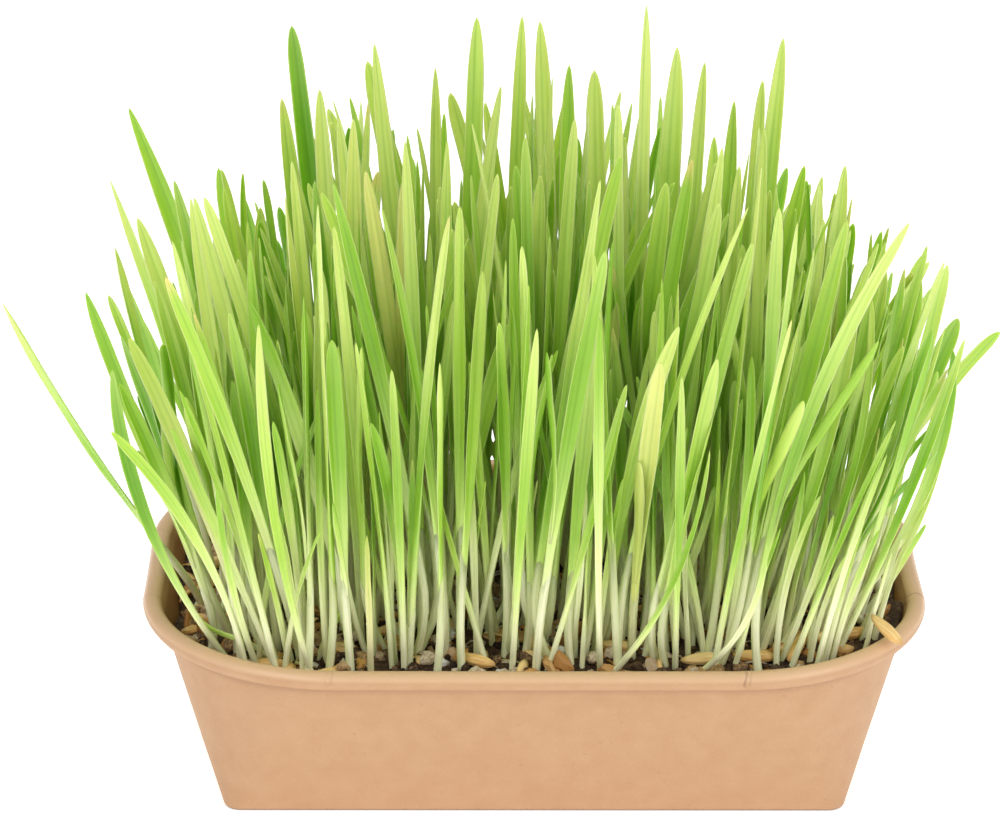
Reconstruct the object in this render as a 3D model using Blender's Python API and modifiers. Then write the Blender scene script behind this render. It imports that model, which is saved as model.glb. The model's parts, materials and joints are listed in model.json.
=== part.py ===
"""Wheatgrass growing in a kraft paper tray, as separate solids in metres with +Z up.

The origin is the middle of the tray's base, in the plane that the tray stands on. +X runs along the
tray's length and -Y is its front. The tray is one rolled-rim paper wall with a recessed bottom panel.
It holds a body of soil with a pocket for each tuft. A tuft is a root mat with its shoots grown out of it.
"""
import math
from dataclasses import dataclass

import bmesh
import bpy
import numpy as np
from mathutils.bvhtree import BVHTree

MM = 0.001

# Paper tray
RIM_LENGTH = 172.0 * MM
RIM_WIDTH = 119.6 * MM
TRAY_HEIGHT = 41.4 * MM
BASE_LENGTH = 135.4 * MM
BASE_WIDTH = 82.6 * MM
RIM_CORNER_RADIUS = 44.5 * MM
BASE_CORNER_RADIUS = 3.2 * MM
ROLL_RADIUS = 2.07 * MM
PAPER = 0.6 * MM
GAP = 0.3 * MM
HEM_CHANNEL = 1.3 * MM
HEM_TOP = 4.0 * MM
PANEL_TOP = 5.0 * MM
WALL_TOP = TRAY_HEIGHT - ROLL_RADIUS
ROLL_START_DEG = 180
ROLL_END_DEG = -140
ROLL_STEPS = 7
CORNER_STEPS = 5

# Soil
SOIL_LEVEL = 36.5 * MM
SOIL_DROP = 4.5 * MM
SOIL_DROP_START = 40.0 * MM
SOIL_DROP_LENGTH = 34.0 * MM
CLOD_HEIGHT = 0.55 * MM
CLOD_PITCH = 3.4 * MM
CLOD_CROSS_PITCH = 1.1 * CLOD_PITCH
CLOD_BEND = 1.3
CLOD_BEND_PITCH = 1.4 * CLOD_PITCH
CLOD_CROSS_BEND = 1.7
CLOD_CROSS_BEND_PITCH = 1.7 * CLOD_PITCH
SOIL_WALL_GAP = 0.35 * MM
SOIL_RINGS = (0.86, 0.55, 0.24)

# Root mats, one for each tuft
MAT_RADIUS = 9.3 * MM
MAT_FOOT_RADIUS = 7.9 * MM
MAT_DEPTH = 8.0 * MM
MAT_SIDES = 10
MAT_RISE = 0.2 * MM
POCKET_RISE = 6.0 * MM
ROOT_REACH = 7.0 * MM
RING_HALF_LENGTH = 66.6 * MM
RING_HALF_WIDTH = 41.9 * MM
RING_CORNER_RADIUS = 25.5 * MM
RING_MATS = 18
INNER_MAT_X = (-45.5 * MM, -22.6 * MM, 0.0, 22.6 * MM, 45.5 * MM)
INNER_MAT_Y = (-20.9 * MM, 0.0, 20.9 * MM)

# How a shoot's section changes, in shares of its length
BLADE_OPENS = 0.12
BLADE_OPENING = 0.38
TIP_SHARE = 0.34
TIP_POWER = 0.62
STEM_FLATTENS = 0.15
STEM_FLATTENING = 0.3
FOOT_HANDLE = 0.35
TIP_HANDLE = 0.32

# Shoots
SEED = 23
SHOOTS_PER_TUFT = 11
ROOT_SPACING = 2.7 * MM
ROOT_DEPTH = 3.0 * MM
STEM_HALF_WIDTH = 1.05 * MM
STEM_DEPTH = 1.75 * MM
BLADE_DEPTH = 0.8 * MM
CLEARANCE = 0.22 * MM
RING_PLACES = (0.0, 0.28, 0.6, 0.87)
KEY_RING_PLACES = (0.0, 0.2, 0.45, 0.7, 0.9)
HALF_BED_LENGTH = 80.0 * MM
HALF_BED_WIDTH = 50.0 * MM
END_LEAN = math.radians(11)
SIDE_LEAN = math.radians(7)
LEAN_SPREAD = math.radians(6.2)
LONGEST_SHOOT = 121.0 * MM
END_SHORTENING = 20.0 * MM
SHORTEST_SHARE = 0.51
DOME_MIDDLE = -4.0 * MM
DOME_TOP = 156.0 * MM
DOME_FALL = 50.0 * MM
DOME_HALF_LENGTH = 100.0 * MM
DOME_BACK_SLOPE = 0.31
SIDE_LIMIT = 104.0 * MM
FRONT_LIMIT = 71.0 * MM
RIM_MARGIN = 3.2 * MM
EDGE_MARGIN = 1.4 * MM
GROUND_MARGIN = 1.45 * MM
OUTLINE_SAMPLES = 40

# Draws of the shoots: tries, angles in radians, and half widths in millimetres
KEY_TRIES = 60
KEY_SHIFT = 0.06 * MM
KEY_FACING_LIMIT = 0.7
KEY_TWIST_LIMIT = 0.5
TRIES = 45
LENGTH_BETA = (2.2, 1.3)
MEAN_BOW = 0.25
BOW_SPREAD = 0.4
HALF_WIDTHS = (1.3, 1.95, 2.5)
FACING_SPREAD = 0.9
TWIST_LIMIT = 0.9
DOME_POWER = 2.2

# Loose grains and stones
GRAIN_LENGTH = 9.6 * MM
GRAIN_WIDTH = 3.2 * MM
GRAIN_THICKNESS = 2.8 * MM
GRAIN_SEGMENTS = 6
GRAIN_RINGS = 5
GRAIN_POINTING = 0.2
STONE_SHAPE = (0.5, 0.42, 0.34)
STONE_KNOCK = (0.85, 1.1)
GROUND_GAP = 0.45 * MM
CLODS_UNDER = 0.8


@dataclass(frozen=True)
class KeyShoot:
    """A shoot of the outline: where it stands, where its tip is, and its width, in millimetres.

    bow is how far it starts upright and ends leaning. A negative bow leans at the foot and rises.
    """

    root: tuple
    tip: tuple
    width: float
    bow: float


@dataclass
class Shoot:
    """One accepted shoot: its tuft, the four points of its centre line, and its face."""

    tuft: int
    points: np.ndarray
    half_width: float
    facing: float
    twist: float
    places: tuple = RING_PLACES


# The tallest and the outermost shoots, from the left end to the right
KEY_SHOOTS = (
    KeyShoot((-72, -2), (-110.2, -58, 125), 4.4, -0.15),
    KeyShoot((-68, 12), (-94, 24, 123), 3.4, 0.35),
    KeyShoot((-63, 31), (-90, 32, 137), 4.8, 0.5),
    KeyShoot((-74, -6), (-92, -14, 110), 2.6, 0.2),
    KeyShoot((-70, -14), (-89, -22, 104), 3.8, 0.3),
    KeyShoot((-62, -10), (-85, -18, 129), 4.4, 0.3),
    KeyShoot((-60, 10), (-79, 12, 127), 4.6, 0.25),
    KeyShoot((-58, 24), (-70, 26, 125), 4.6, 0.2),
    KeyShoot((-46, 26), (-56, 30, 140), 4.4, 0.2),
    KeyShoot((-44, 36), (-54, 42, 153), 4.6, 0.35),
    KeyShoot((-40, 8), (-47, 12, 148), 4.6, 0.1),
    KeyShoot((-30, 20), (-45, 26, 136), 4.2, 0.2),
    KeyShoot((-38, -16), (-39, -20, 152), 4.0, 0.1),
    KeyShoot((-20, 26), (-37, 32, 148), 4.8, 0.5),
    KeyShoot((-24, 2), (-35, 4, 161), 4.0, 0.1),
    KeyShoot((-22, 24), (-22, 34, 146), 3.4, 0.1),
    KeyShoot((-14, 4), (-13, 10, 165), 5.2, 0.05),
    KeyShoot((-8, 22), (-3, 24, 161), 3.6, -0.1),
    KeyShoot((14, 40), (-3, 46, 138), 3.2, 0.3),
    KeyShoot((6, 22), (1, 30, 158), 4.6, 0.2),
    KeyShoot((8, 2), (7, 8, 155), 4.6, 0.1),
    KeyShoot((14, 20), (13, 26, 148), 5.0, 0.1),
    KeyShoot((22, -4), (23, 0, 171), 4.2, 0.0),
    KeyShoot((26, 16), (31, 24, 154), 6.0, 0.15),
    KeyShoot((34, 2), (36, 4, 157), 4.0, 0.1),
    KeyShoot((40, 20), (44, 26, 141), 4.2, 0.1),
    KeyShoot((44, 6), (49, 10, 151), 4.4, 0.1),
    KeyShoot((46, 22), (55, 34, 153), 4.4, 0.2),
    KeyShoot((47, -20), (47, -26, 152), 4.2, 0.1),
    KeyShoot((62, 8), (62, 10, 127), 3.2, 0.0),
    KeyShoot((62, 14), (69, 26, 126), 4.6, 0.35),
    KeyShoot((66, -8), (76, -4, 112), 3.2, 0.2),
    KeyShoot((70, -12), (81, 6, 109), 3.4, 0.2),
    KeyShoot((72, 6), (86, 16, 86), 3.8, 0.1),
    KeyShoot((66, -26), (83, -34, 110), 4.0, 0.2),
    KeyShoot((73, 8), (95, 20, 92), 5.4, 0.1),
    KeyShoot((71, 11), (107.6, 44, 79.5), 3.6, 0.5),
    KeyShoot((20, -42), (24, -73.2, 118), 4.4, 0.4),
    KeyShoot((-24, 42), (-28, 73.2, 112), 4.4, 0.4),
)

# Two sprouts that lie low inside the rim at the front left, each the four points of its curve
LOW_SPROUTS = (
    ((-57, -36, 30.5), (-58, -40, 43), (-70, -41, 39.5), (-74, -27, 41)),
    ((-46.5, -41, 33), (-47, -46, 45), (-42, -43, 44), (-40.5, -36.5, 50.5)),
)
LOW_SPROUT_WIDTH = 2.8 * MM
LOW_SPROUT_FACING = math.radians(-70)

# Each grain's place, the way it points and how far its far end dips, in millimetres and degrees
GRAINS = (
    (17.5, -39.6, -14, 0),
    (0.4, -37.0, 78, -30),
    (35.5, -45.8, 10, 0),
    (46.8, -44.6, 2, 4),
    (56.2, -41.0, 62, -20),
    (62.0, -36.0, 70, 18),
    (69.0, -33.0, 34, 6),
    (-73.0, 2.0, 68, 8),
    (-71.4, 14.6, 40, 0),
    (-64.0, -21.0, 80, -8),
    (-58.6, -34.6, -58, 0),
    (-31.0, -31.0, 24, 0),
    (-13.0, -46.6, -30, 0),
)
RIM_GRAIN_PLACE = (75.2 * MM, -42.6 * MM, 44.4 * MM)
RIM_GRAIN_HEADING = -42
RIM_GRAIN_DIP = 26

# Each loose stone's place, its longest size and whether it is white perlite, in millimetres
STONES = (
    (2.6, -45.6, 3.8, True),
    (5.4, -41.6, 3.2, True),
    (12.0, -45.4, 4.2, False),
    (25.6, -43.6, 4.0, False),
    (30.0, -34.0, 3.6, False),
    (-23.4, -46.4, 4.4, False),
    (-66.0, -31.8, 4.6, False),
    (73.6, -26.0, 3.8, True),
)
STONE_SEED = 5

# Colours as linear red, green, blue, with roughness
FINISHES = {
    "kraft_paper": ((0.62, 0.38, 0.19), 0.75),
    "potting_soil": ((0.05, 0.032, 0.02), 0.95),
    "grass": ((0.25, 0.48, 0.05), 0.5),
    "grain_husk": ((0.55, 0.33, 0.11), 0.65),
    "gravel": ((0.42, 0.34, 0.28), 0.8),
    "perlite": ((0.78, 0.76, 0.72), 0.85),
}


def clear_scene():
    """Removes every object that the scene starts with."""
    for found in list(bpy.data.objects):
        bpy.data.objects.remove(found, do_unlink=True)


def new_collection(name):
    """Makes a collection under the scene's own."""
    collection = bpy.data.collections.new(name)
    bpy.context.scene.collection.children.link(collection)
    return collection


def make_finishes():
    """Makes one Principled material for each finish."""
    made = {}
    for name, (colour, roughness) in FINISHES.items():
        material = bpy.data.materials.new(name)
        material.use_nodes = True
        shader = material.node_tree.nodes["Principled BSDF"]
        shader.inputs["Base Color"].default_value = (*colour, 1.0)
        shader.inputs["Roughness"].default_value = roughness
        made[name] = material
    return made


def add_object(name, vertices, faces, collection, material=None):
    """Puts vertices and faces into a new object."""
    mesh = bpy.data.meshes.new(name)
    mesh.from_pydata([tuple(v) for v in vertices], [], [tuple(f) for f in faces])
    mesh.update()
    made = bpy.data.objects.new(name, mesh)
    collection.objects.link(made)
    if material is not None:
        mesh.materials.append(material)
    return made


def hide_cutter(cutter):
    """Marks an object as a tool that isn't part of the model."""
    cutter.hide_render = True
    cutter.display_type = "WIRE"


def apply_modifiers(target):
    """Replaces an object's mesh by the one that its modifiers give."""
    graph = bpy.context.evaluated_depsgraph_get()
    graph.update()
    mesh = bpy.data.meshes.new_from_object(target.evaluated_get(graph))
    target.modifiers.clear()
    target.data = mesh


def rounded_rectangle(half_x, half_y, radius, z):
    """Points round a rounded rectangle, anticlockwise from the right side. The sizes may vary by point."""
    quarter = np.linspace(0.0, math.pi / 2, CORNER_STEPS + 1)
    angle = np.concatenate([quarter + turn * math.pi / 2 for turn in range(4)])
    side_x = np.repeat([1.0, -1.0, -1.0, 1.0], CORNER_STEPS + 1)
    side_y = np.repeat([1.0, 1.0, -1.0, -1.0], CORNER_STEPS + 1)
    x = side_x * (half_x - radius) + radius * np.cos(angle)
    y = side_y * (half_y - radius) + radius * np.sin(angle)
    return np.column_stack([x, y, np.broadcast_to(z, x.shape)])


def wall_size(z):
    """Half length, half width and corner radius of the wall's inner face at a height."""
    share = np.minimum(z, WALL_TOP) / WALL_TOP
    foot_x = BASE_LENGTH / 2 - PAPER
    foot_y = BASE_WIDTH / 2 - PAPER
    foot_radius = BASE_CORNER_RADIUS - PAPER
    top_x = RIM_LENGTH / 2 - 2 * ROLL_RADIUS
    top_y = RIM_WIDTH / 2 - 2 * ROLL_RADIUS
    top_radius = RIM_CORNER_RADIUS - 2 * ROLL_RADIUS
    return (
        foot_x + share * (top_x - foot_x),
        foot_y + share * (top_y - foot_y),
        foot_radius + share * (top_radius - foot_radius),
    )


def wall_loop(z, inset=0.0):
    """The wall's inner face at a height, moved inwards by an inset."""
    half_x, half_y, radius = wall_size(z)
    return rounded_rectangle(half_x - inset, half_y - inset, radius - inset, z)


def outside_distance(x, y, half_x, half_y, radius):
    """How far points lie outside a rounded rectangle, negative inside."""
    qx = np.abs(x) - (half_x - radius)
    qy = np.abs(y) - (half_y - radius)
    outer = np.hypot(np.maximum(qx, 0.0), np.maximum(qy, 0.0))
    return outer + np.minimum(np.maximum(qx, qy), 0.0) - radius


def loft_faces(loops, count):
    """Quads between loops of points, one loop after another."""
    faces = []
    for ring in range(loops - 1):
        for k in range(count):
            n = (k + 1) % count
            faces.append((ring * count + k, ring * count + n, (ring + 1) * count + n, (ring + 1) * count + k))
    return faces


def add_paper(target, offset):
    """Gives an open paper surface its thickness."""
    solidify = target.modifiers.new("paper", "SOLIDIFY")
    solidify.thickness = PAPER
    solidify.offset = offset
    solidify.use_even_offset = True


def press_foot_flat(wall):
    """Presses the fold at the wall's foot onto the plane that the tray stands on."""
    apply_modifiers(wall)
    for vertex in wall.data.vertices:
        if vertex.co.z < PAPER / 2:
            vertex.co.z = 0.0


def make_tray_wall(collection, material):
    """The side wall: hem turned in at the foot, tapered wall, and rim rolled outwards."""
    loops = [
        wall_loop(HEM_TOP, HEM_CHANNEL),
        wall_loop(PAPER, HEM_CHANNEL),
        wall_loop(PAPER),
        wall_loop(WALL_TOP * 0.5),
    ]
    half_x, half_y, radius = wall_size(WALL_TOP)
    for angle in np.radians(np.linspace(ROLL_START_DEG, ROLL_END_DEG, ROLL_STEPS + 1)):
        out = ROLL_RADIUS + ROLL_RADIUS * math.cos(angle)
        height = WALL_TOP + ROLL_RADIUS * math.sin(angle)
        loops.append(rounded_rectangle(half_x + out, half_y + out, radius + out, height))
    faces = loft_faces(len(loops), len(loops[0]))
    wall = add_object("tray_wall", np.concatenate(loops), faces, collection, material)
    add_paper(wall, 1.0)
    press_foot_flat(wall)
    return wall


def make_tray_base(collection, material):
    """The bottom panel with its skirt turned down into the wall's hem."""
    inset = (HEM_CHANNEL - PAPER) / 2
    loops = [wall_loop(PAPER + GAP, inset), wall_loop(PANEL_TOP, inset)]
    count = len(loops[0])
    faces = loft_faces(2, count) + [tuple(range(count, 2 * count))]
    panel = add_object("tray_base", np.concatenate(loops), faces, collection, material)
    add_paper(panel, -1.0)
    return panel


def soil_level(x):
    """Height of the soil before its clods: level, but lower towards the left end."""
    share = np.clip((-x - SOIL_DROP_START) / SOIL_DROP_LENGTH, 0.0, 1.0)
    return SOIL_LEVEL - SOIL_DROP * share * share * (3.0 - 2.0 * share)


def soil_height(x, y):
    """Height of the soil's surface: the level with clods from two crossed, bent waves."""
    first = np.sin(x / CLOD_PITCH + CLOD_BEND * np.sin(y / CLOD_BEND_PITCH))
    second = np.sin(y / CLOD_CROSS_PITCH + CLOD_CROSS_BEND * np.sin(x / CLOD_CROSS_BEND_PITCH))
    return soil_level(x) + CLOD_HEIGHT * (first + second)


def make_substrate(collection, material):
    """The body of soil: it fills the tray from the panel up, with clods on its surface."""
    edge = wall_loop(SOIL_LEVEL, SOIL_WALL_GAP)
    height = soil_height(edge[:, 0], edge[:, 1])
    half_x, half_y, radius = wall_size(height)
    inset = SOIL_WALL_GAP
    edge = rounded_rectangle(half_x - inset, half_y - inset, radius - inset, height)
    loops = [wall_loop(PANEL_TOP + GAP, SOIL_WALL_GAP), edge]
    for share in SOIL_RINGS:
        x = edge[:, 0] * share
        y = edge[:, 1] * share
        loops.append(np.column_stack([x, y, soil_height(x, y)]))
    count = len(edge)
    vertices = np.concatenate(loops + [np.array([[0.0, 0.0, soil_height(0.0, 0.0)]])])
    faces = loft_faces(len(loops), count) + [tuple(reversed(range(count)))]
    last = (len(loops) - 1) * count
    faces += [(last + k, last + (k + 1) % count, len(vertices) - 1) for k in range(count)]
    soil = add_object("substrate", vertices, faces, collection, material)
    shaped = bmesh.new()
    shaped.from_mesh(soil.data)
    bmesh.ops.triangulate(shaped, faces=shaped.faces[:])
    shaped.to_mesh(soil.data)
    shaped.free()
    return soil


def mat_centres():
    """Centres of the root mats: a ring along the tray's outline, then three rows inside it."""
    straight_x = RING_HALF_LENGTH - RING_CORNER_RADIUS
    straight_y = RING_HALF_WIDTH - RING_CORNER_RADIUS
    arc = RING_CORNER_RADIUS * math.pi / 2
    quarter = straight_x + straight_y + arc
    pitch = 4 * quarter / RING_MATS
    centres = []
    for k in range(RING_MATS):
        run = (k + 0.5) * pitch
        turn = int(run // quarter)
        run -= turn * quarter
        if turn % 2:
            run = quarter - run
        if run < straight_y:
            x, y = RING_HALF_LENGTH, run
        elif run < straight_y + arc:
            angle = (run - straight_y) / RING_CORNER_RADIUS
            x = straight_x + RING_CORNER_RADIUS * math.cos(angle)
            y = straight_y + RING_CORNER_RADIUS * math.sin(angle)
        else:
            x, y = quarter - run, RING_HALF_WIDTH
        centres.append((x * (1, -1, -1, 1)[turn], y * (1, 1, -1, -1)[turn]))
    centres += [(x, y) for y in INNER_MAT_Y for x in INNER_MAT_X]
    return centres


def make_mat(name, centre, grow, top_rise, collection):
    """A root mat, or with grow the cutter for its pocket: a short cone that narrows downwards."""
    top = float(soil_level(centre[0])) + MAT_RISE
    shaped = bmesh.new()
    low = top - MAT_DEPTH - grow
    high = top + top_rise
    slope = (MAT_RADIUS - MAT_FOOT_RADIUS) / MAT_DEPTH
    bmesh.ops.create_cone(
        shaped,
        cap_ends=True,
        segments=MAT_SIDES,
        radius1=MAT_FOOT_RADIUS + grow,
        radius2=MAT_RADIUS + grow + slope * top_rise,
        depth=high - low,
    )
    bmesh.ops.translate(shaped, verts=shaped.verts, vec=(centre[0], centre[1], (high + low) / 2))
    mesh = bpy.data.meshes.new(name)
    shaped.to_mesh(mesh)
    shaped.free()
    made = bpy.data.objects.new(name, mesh)
    collection.objects.link(made)
    return made


def cubic(points, places):
    """Points of a cubic Bezier curve and its unit tangents."""
    t = np.asarray(places)[:, None]
    s = 1.0 - t
    line = s**3 * points[0] + 3 * s * s * t * points[1] + 3 * s * t * t * points[2] + t**3 * points[3]
    slope = s * s * (points[1] - points[0]) + 2 * s * t * (points[2] - points[1])
    slope = slope + t * t * (points[3] - points[2])
    return line, slope / np.linalg.norm(slope, axis=1, keepdims=True)


def half_widths(places, half_width):
    """Half width along a shoot: a thin stem that opens into the blade and narrows to the tip."""
    t = np.asarray(places)
    opening = np.clip((t - BLADE_OPENS) / BLADE_OPENING, 0.0, 1.0)
    opening = opening * opening * (3.0 - 2.0 * opening)
    closing = np.clip((1.0 - t) / TIP_SHARE, 0.0, 1.0) ** TIP_POWER
    return (STEM_HALF_WIDTH + (half_width - STEM_HALF_WIDTH) * opening) * closing


def keel_depths(places):
    """Depth of the section along a shoot: a round stem that flattens into the blade."""
    opening = np.clip((np.asarray(places) - STEM_FLATTENS) / STEM_FLATTENING, 0.0, 1.0)
    return STEM_DEPTH + (BLADE_DEPTH - STEM_DEPTH) * opening


def blade_mesh(line, tangent, width, depth, facing, twist, places, grow):
    """A three-sided blade about a centre line: two edges and a keel behind, closed at foot and tip."""
    turn = facing + twist * np.asarray(places)
    face = np.column_stack([np.cos(turn), np.sin(turn), np.zeros(len(turn))])
    face = face - tangent * np.sum(face * tangent, axis=1, keepdims=True)
    face = face / np.linalg.norm(face, axis=1, keepdims=True)
    side = np.cross(tangent, face)
    rings = len(places) - 1
    width = (width + grow)[:, None]
    front = face * (depth / 3 + grow)[:, None]
    back = face * (depth * 2 / 3 + grow)[:, None]
    corners = np.stack([line + side * width + front, line - back, line - side * width + front], axis=1)
    vertices = np.concatenate([corners[:rings].reshape(-1, 3), line[-1:] + tangent[-1:] * grow])
    faces = [(2, 1, 0)]
    for ring in range(rings - 1):
        for k in range(3):
            n = (k + 1) % 3
            a, b, c, d = ring * 3 + k, ring * 3 + n, ring * 3 + 3 + n, ring * 3 + 3 + k
            faces += [(a, b, c), (a, c, d)]
    last = (rings - 1) * 3
    faces += [(last + k, last + (k + 1) % 3, len(vertices) - 1) for k in range(3)]
    return vertices, faces


def shoot_mesh(shoot, grow=0.0):
    """The solid of one shoot."""
    places = np.array(shoot.places + (1.0,))
    line, tangent = cubic(shoot.points, places)
    width = half_widths(places, shoot.half_width)
    return blade_mesh(line, tangent, width, keel_depths(places), shoot.facing, shoot.twist, places, grow)


def curve_points(root, tip, bow):
    """Four points of a shoot's centre line from its foot, its tip and its bow."""
    chord = tip - root
    length = np.linalg.norm(chord)
    way = chord / length
    up = np.array([0.0, 0.0, 1.0])
    start = way * (1 - bow) + up * bow
    end = way * (1 + bow) - up * bow
    start = start / np.linalg.norm(start)
    end = end / np.linalg.norm(end)
    return np.array([root, root + start * length * FOOT_HANDLE, tip - end * length * TIP_HANDLE, tip])


class Bed:
    """Places shoots so that none crosses another, the rim, the soil or a loose piece."""

    def __init__(self, centres, obstacles):
        """Starts an empty bed with the root mats' centres and the loose pieces' shapes."""
        self.centres = np.array(centres)
        self.shapes = [self.shape_of(vertices, faces) for vertices, faces in obstacles]
        self.shoots = []
        self.roots = [[] for _ in centres]

    def shape_of(self, vertices, faces):
        """A search tree with the lowest and highest corners of a mesh."""
        tree = BVHTree.FromPolygons([tuple(v) for v in vertices], faces)
        return vertices.min(axis=0), vertices.max(axis=0), tree

    def keep(self, shoot, shape):
        """Takes a shoot into the bed."""
        self.shapes.append(shape)
        self.shoots.append(shoot)
        self.roots[shoot.tuft].append(shoot.points[0][:2])

    def is_over_tray(self, shoot):
        """Whether a shoot clears the rim, and the soil beyond its own mat."""
        places = np.array(shoot.places + (1.0,))
        rings, _ = cubic(shoot.points, places)
        along = np.linspace(0.0, 1.0, OUTLINE_SAMPLES)
        line = np.column_stack([np.interp(along, places, rings[:, axis]) for axis in range(3)])
        reach = half_widths(along, shoot.half_width)
        low = line[:, 2] < TRAY_HEIGHT + RIM_MARGIN
        half_x, half_y, radius = wall_size(TRAY_HEIGHT)
        outside = outside_distance(line[:, 0], line[:, 1], half_x, half_y, radius)
        if np.any(low & (outside > -reach - GAP)):
            return False
        centre = self.centres[shoot.tuft]
        away = np.hypot(line[:, 0] - centre[0], line[:, 1] - centre[1]) > MAT_RADIUS - EDGE_MARGIN
        ground = soil_level(line[:, 0]) + 2 * CLOD_HEIGHT + GROUND_MARGIN
        return not np.any(away & (line[:, 2] < ground))

    def is_free(self, shape):
        """Whether a shape crosses nothing placed before it."""
        for lowest, highest, tree in self.shapes:
            if np.any(shape[0] > highest) or np.any(shape[1] < lowest):
                continue
            if shape[2].overlap(tree):
                return False
        return True

    def add(self, shoot):
        """Keeps a shoot that is clear of everything, and says whether it was."""
        if not self.is_spaced(shoot.tuft, shoot.points[0]) or not self.is_over_tray(shoot):
            return False
        shape = self.shape_of(*shoot_mesh(shoot, CLEARANCE))
        if not self.is_free(shape):
            return False
        self.keep(shoot, shape)
        return True

    def root_place(self, tuft, x, y):
        """The nearest place to x and y where a shoot of a tuft can stand."""
        centre = self.centres[tuft]
        offset = np.array([x, y]) - centre
        far = np.linalg.norm(offset)
        if far > ROOT_REACH:
            offset = offset * ROOT_REACH / far
        x, y = centre + offset
        return np.array([x, y, float(soil_level(centre[0])) + MAT_RISE - ROOT_DEPTH])

    def is_spaced(self, tuft, root):
        """Whether a foot is far enough from the other feet in its mat."""
        return all(np.linalg.norm(other - root[:2]) > ROOT_SPACING for other in self.roots[tuft])


def tallest(x, y):
    """The height that random tips stay under: a dome along the length, lower towards the back."""
    share = np.abs(x - DOME_MIDDLE) / DOME_HALF_LENGTH
    return DOME_TOP - DOME_FALL * share**DOME_POWER - DOME_BACK_SLOPE * y


def plant_low_sprouts(bed):
    """Plants the sprouts that lie low inside the rim. Nothing else stands there yet."""
    for points in LOW_SPROUTS:
        points = np.array(points) * MM
        tuft = int(np.argmin(np.linalg.norm(bed.centres - points[0, :2], axis=1)))
        shoot = Shoot(tuft, points, LOW_SPROUT_WIDTH / 2, LOW_SPROUT_FACING, 0.0, KEY_RING_PLACES)
        bed.keep(shoot, bed.shape_of(*shoot_mesh(shoot, CLEARANCE)))


def plant_key_shoots(bed, random):
    """Plants the shoots of the outline."""
    for key in KEY_SHOOTS:
        wanted = np.array(key.root) * MM
        tuft = int(np.argmin(np.linalg.norm(bed.centres - wanted, axis=1)))
        tip = np.array(key.tip) * MM
        for step in range(KEY_TRIES):
            shift = random.normal(0.0, KEY_SHIFT * step, 2)
            root = bed.root_place(tuft, wanted[0] + shift[0], wanted[1] + shift[1])
            facing = -math.pi / 2 + random.uniform(-KEY_FACING_LIMIT, KEY_FACING_LIMIT)
            points = curve_points(root, tip, key.bow)
            twist = random.uniform(-KEY_TWIST_LIMIT, KEY_TWIST_LIMIT)
            shoot = Shoot(tuft, points, key.width * MM / 2, facing, twist, KEY_RING_PLACES)
            if bed.add(shoot):
                break


def random_shoot(bed, random, tuft):
    """Draws one shoot: it leans outwards with the tray's ends, and bows a little."""
    angle = random.uniform(0.0, 2 * math.pi)
    far = ROOT_REACH * math.sqrt(random.uniform(0.0, 1.0))
    centre = bed.centres[tuft]
    root = bed.root_place(tuft, centre[0] + far * math.cos(angle), centre[1] + far * math.sin(angle))
    fan_x = END_LEAN * root[0] / HALF_BED_LENGTH
    fan_y = SIDE_LEAN * root[1] / HALF_BED_WIDTH
    lean_x = fan_x + random.normal(0.0, LEAN_SPREAD)
    lean_y = fan_y + random.normal(0.0, LEAN_SPREAD)
    share = root[0] / HALF_BED_LENGTH
    full = LONGEST_SHOOT - END_SHORTENING * share * share
    length = full * (SHORTEST_SHARE + (1.0 - SHORTEST_SHARE) * random.beta(*LENGTH_BETA))
    way = np.array([math.tan(lean_x), math.tan(lean_y), 1.0])
    tip = root + way / np.linalg.norm(way) * (length + ROOT_DEPTH)
    bow = random.normal(MEAN_BOW, BOW_SPREAD)
    half_width = random.triangular(*HALF_WIDTHS) * MM
    facing = -math.pi / 2 + random.normal(0.0, FACING_SPREAD)
    twist = random.uniform(-TWIST_LIMIT, TWIST_LIMIT)
    return Shoot(tuft, curve_points(root, tip, bow), half_width, facing, twist)


def plant_random_shoots(bed, random):
    """Fills every tuft, one shoot at a time in each, up to its share."""
    for _ in range(SHOOTS_PER_TUFT):
        for tuft in range(len(bed.centres)):
            if len(bed.roots[tuft]) >= SHOOTS_PER_TUFT:
                continue
            for _ in range(TRIES):
                shoot = random_shoot(bed, random, tuft)
                tip = shoot.points[3]
                if abs(tip[0]) > SIDE_LIMIT or abs(tip[1]) > FRONT_LIMIT:
                    continue
                if tip[2] > tallest(tip[0], tip[1]):
                    continue
                if bed.add(shoot):
                    break


def grain_mesh():
    """A husked grain along X: a ball drawn out to two points and flattened."""
    shaped = bmesh.new()
    bmesh.ops.create_uvsphere(shaped, u_segments=GRAIN_SEGMENTS, v_segments=GRAIN_RINGS, radius=1.0)
    bmesh.ops.triangulate(shaped, faces=shaped.faces[:])
    vertices = np.array([v.co[:] for v in shaped.verts])
    faces = [tuple(v.index for v in f.verts) for f in shaped.faces]
    shaped.free()
    slim = np.clip(1.0 - vertices[:, 2] ** 2, 0.0, 1.0) ** GRAIN_POINTING
    x = vertices[:, 2] * GRAIN_LENGTH / 2
    y = vertices[:, 0] * slim * GRAIN_WIDTH / 2
    z = vertices[:, 1] * slim * GRAIN_THICKNESS / 2
    return np.column_stack([x, y, z]), faces


def stone_mesh(size, random):
    """A small stone: a ball of twenty flats, squeezed and knocked out of round."""
    shaped = bmesh.new()
    bmesh.ops.create_icosphere(shaped, subdivisions=1, radius=1.0)
    vertices = np.array([v.co[:] for v in shaped.verts])
    faces = [tuple(v.index for v in f.verts) for f in shaped.faces]
    shaped.free()
    vertices = vertices * random.uniform(*STONE_KNOCK, (len(vertices), 1))
    return vertices * np.array(STONE_SHAPE) * size, faces


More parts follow.
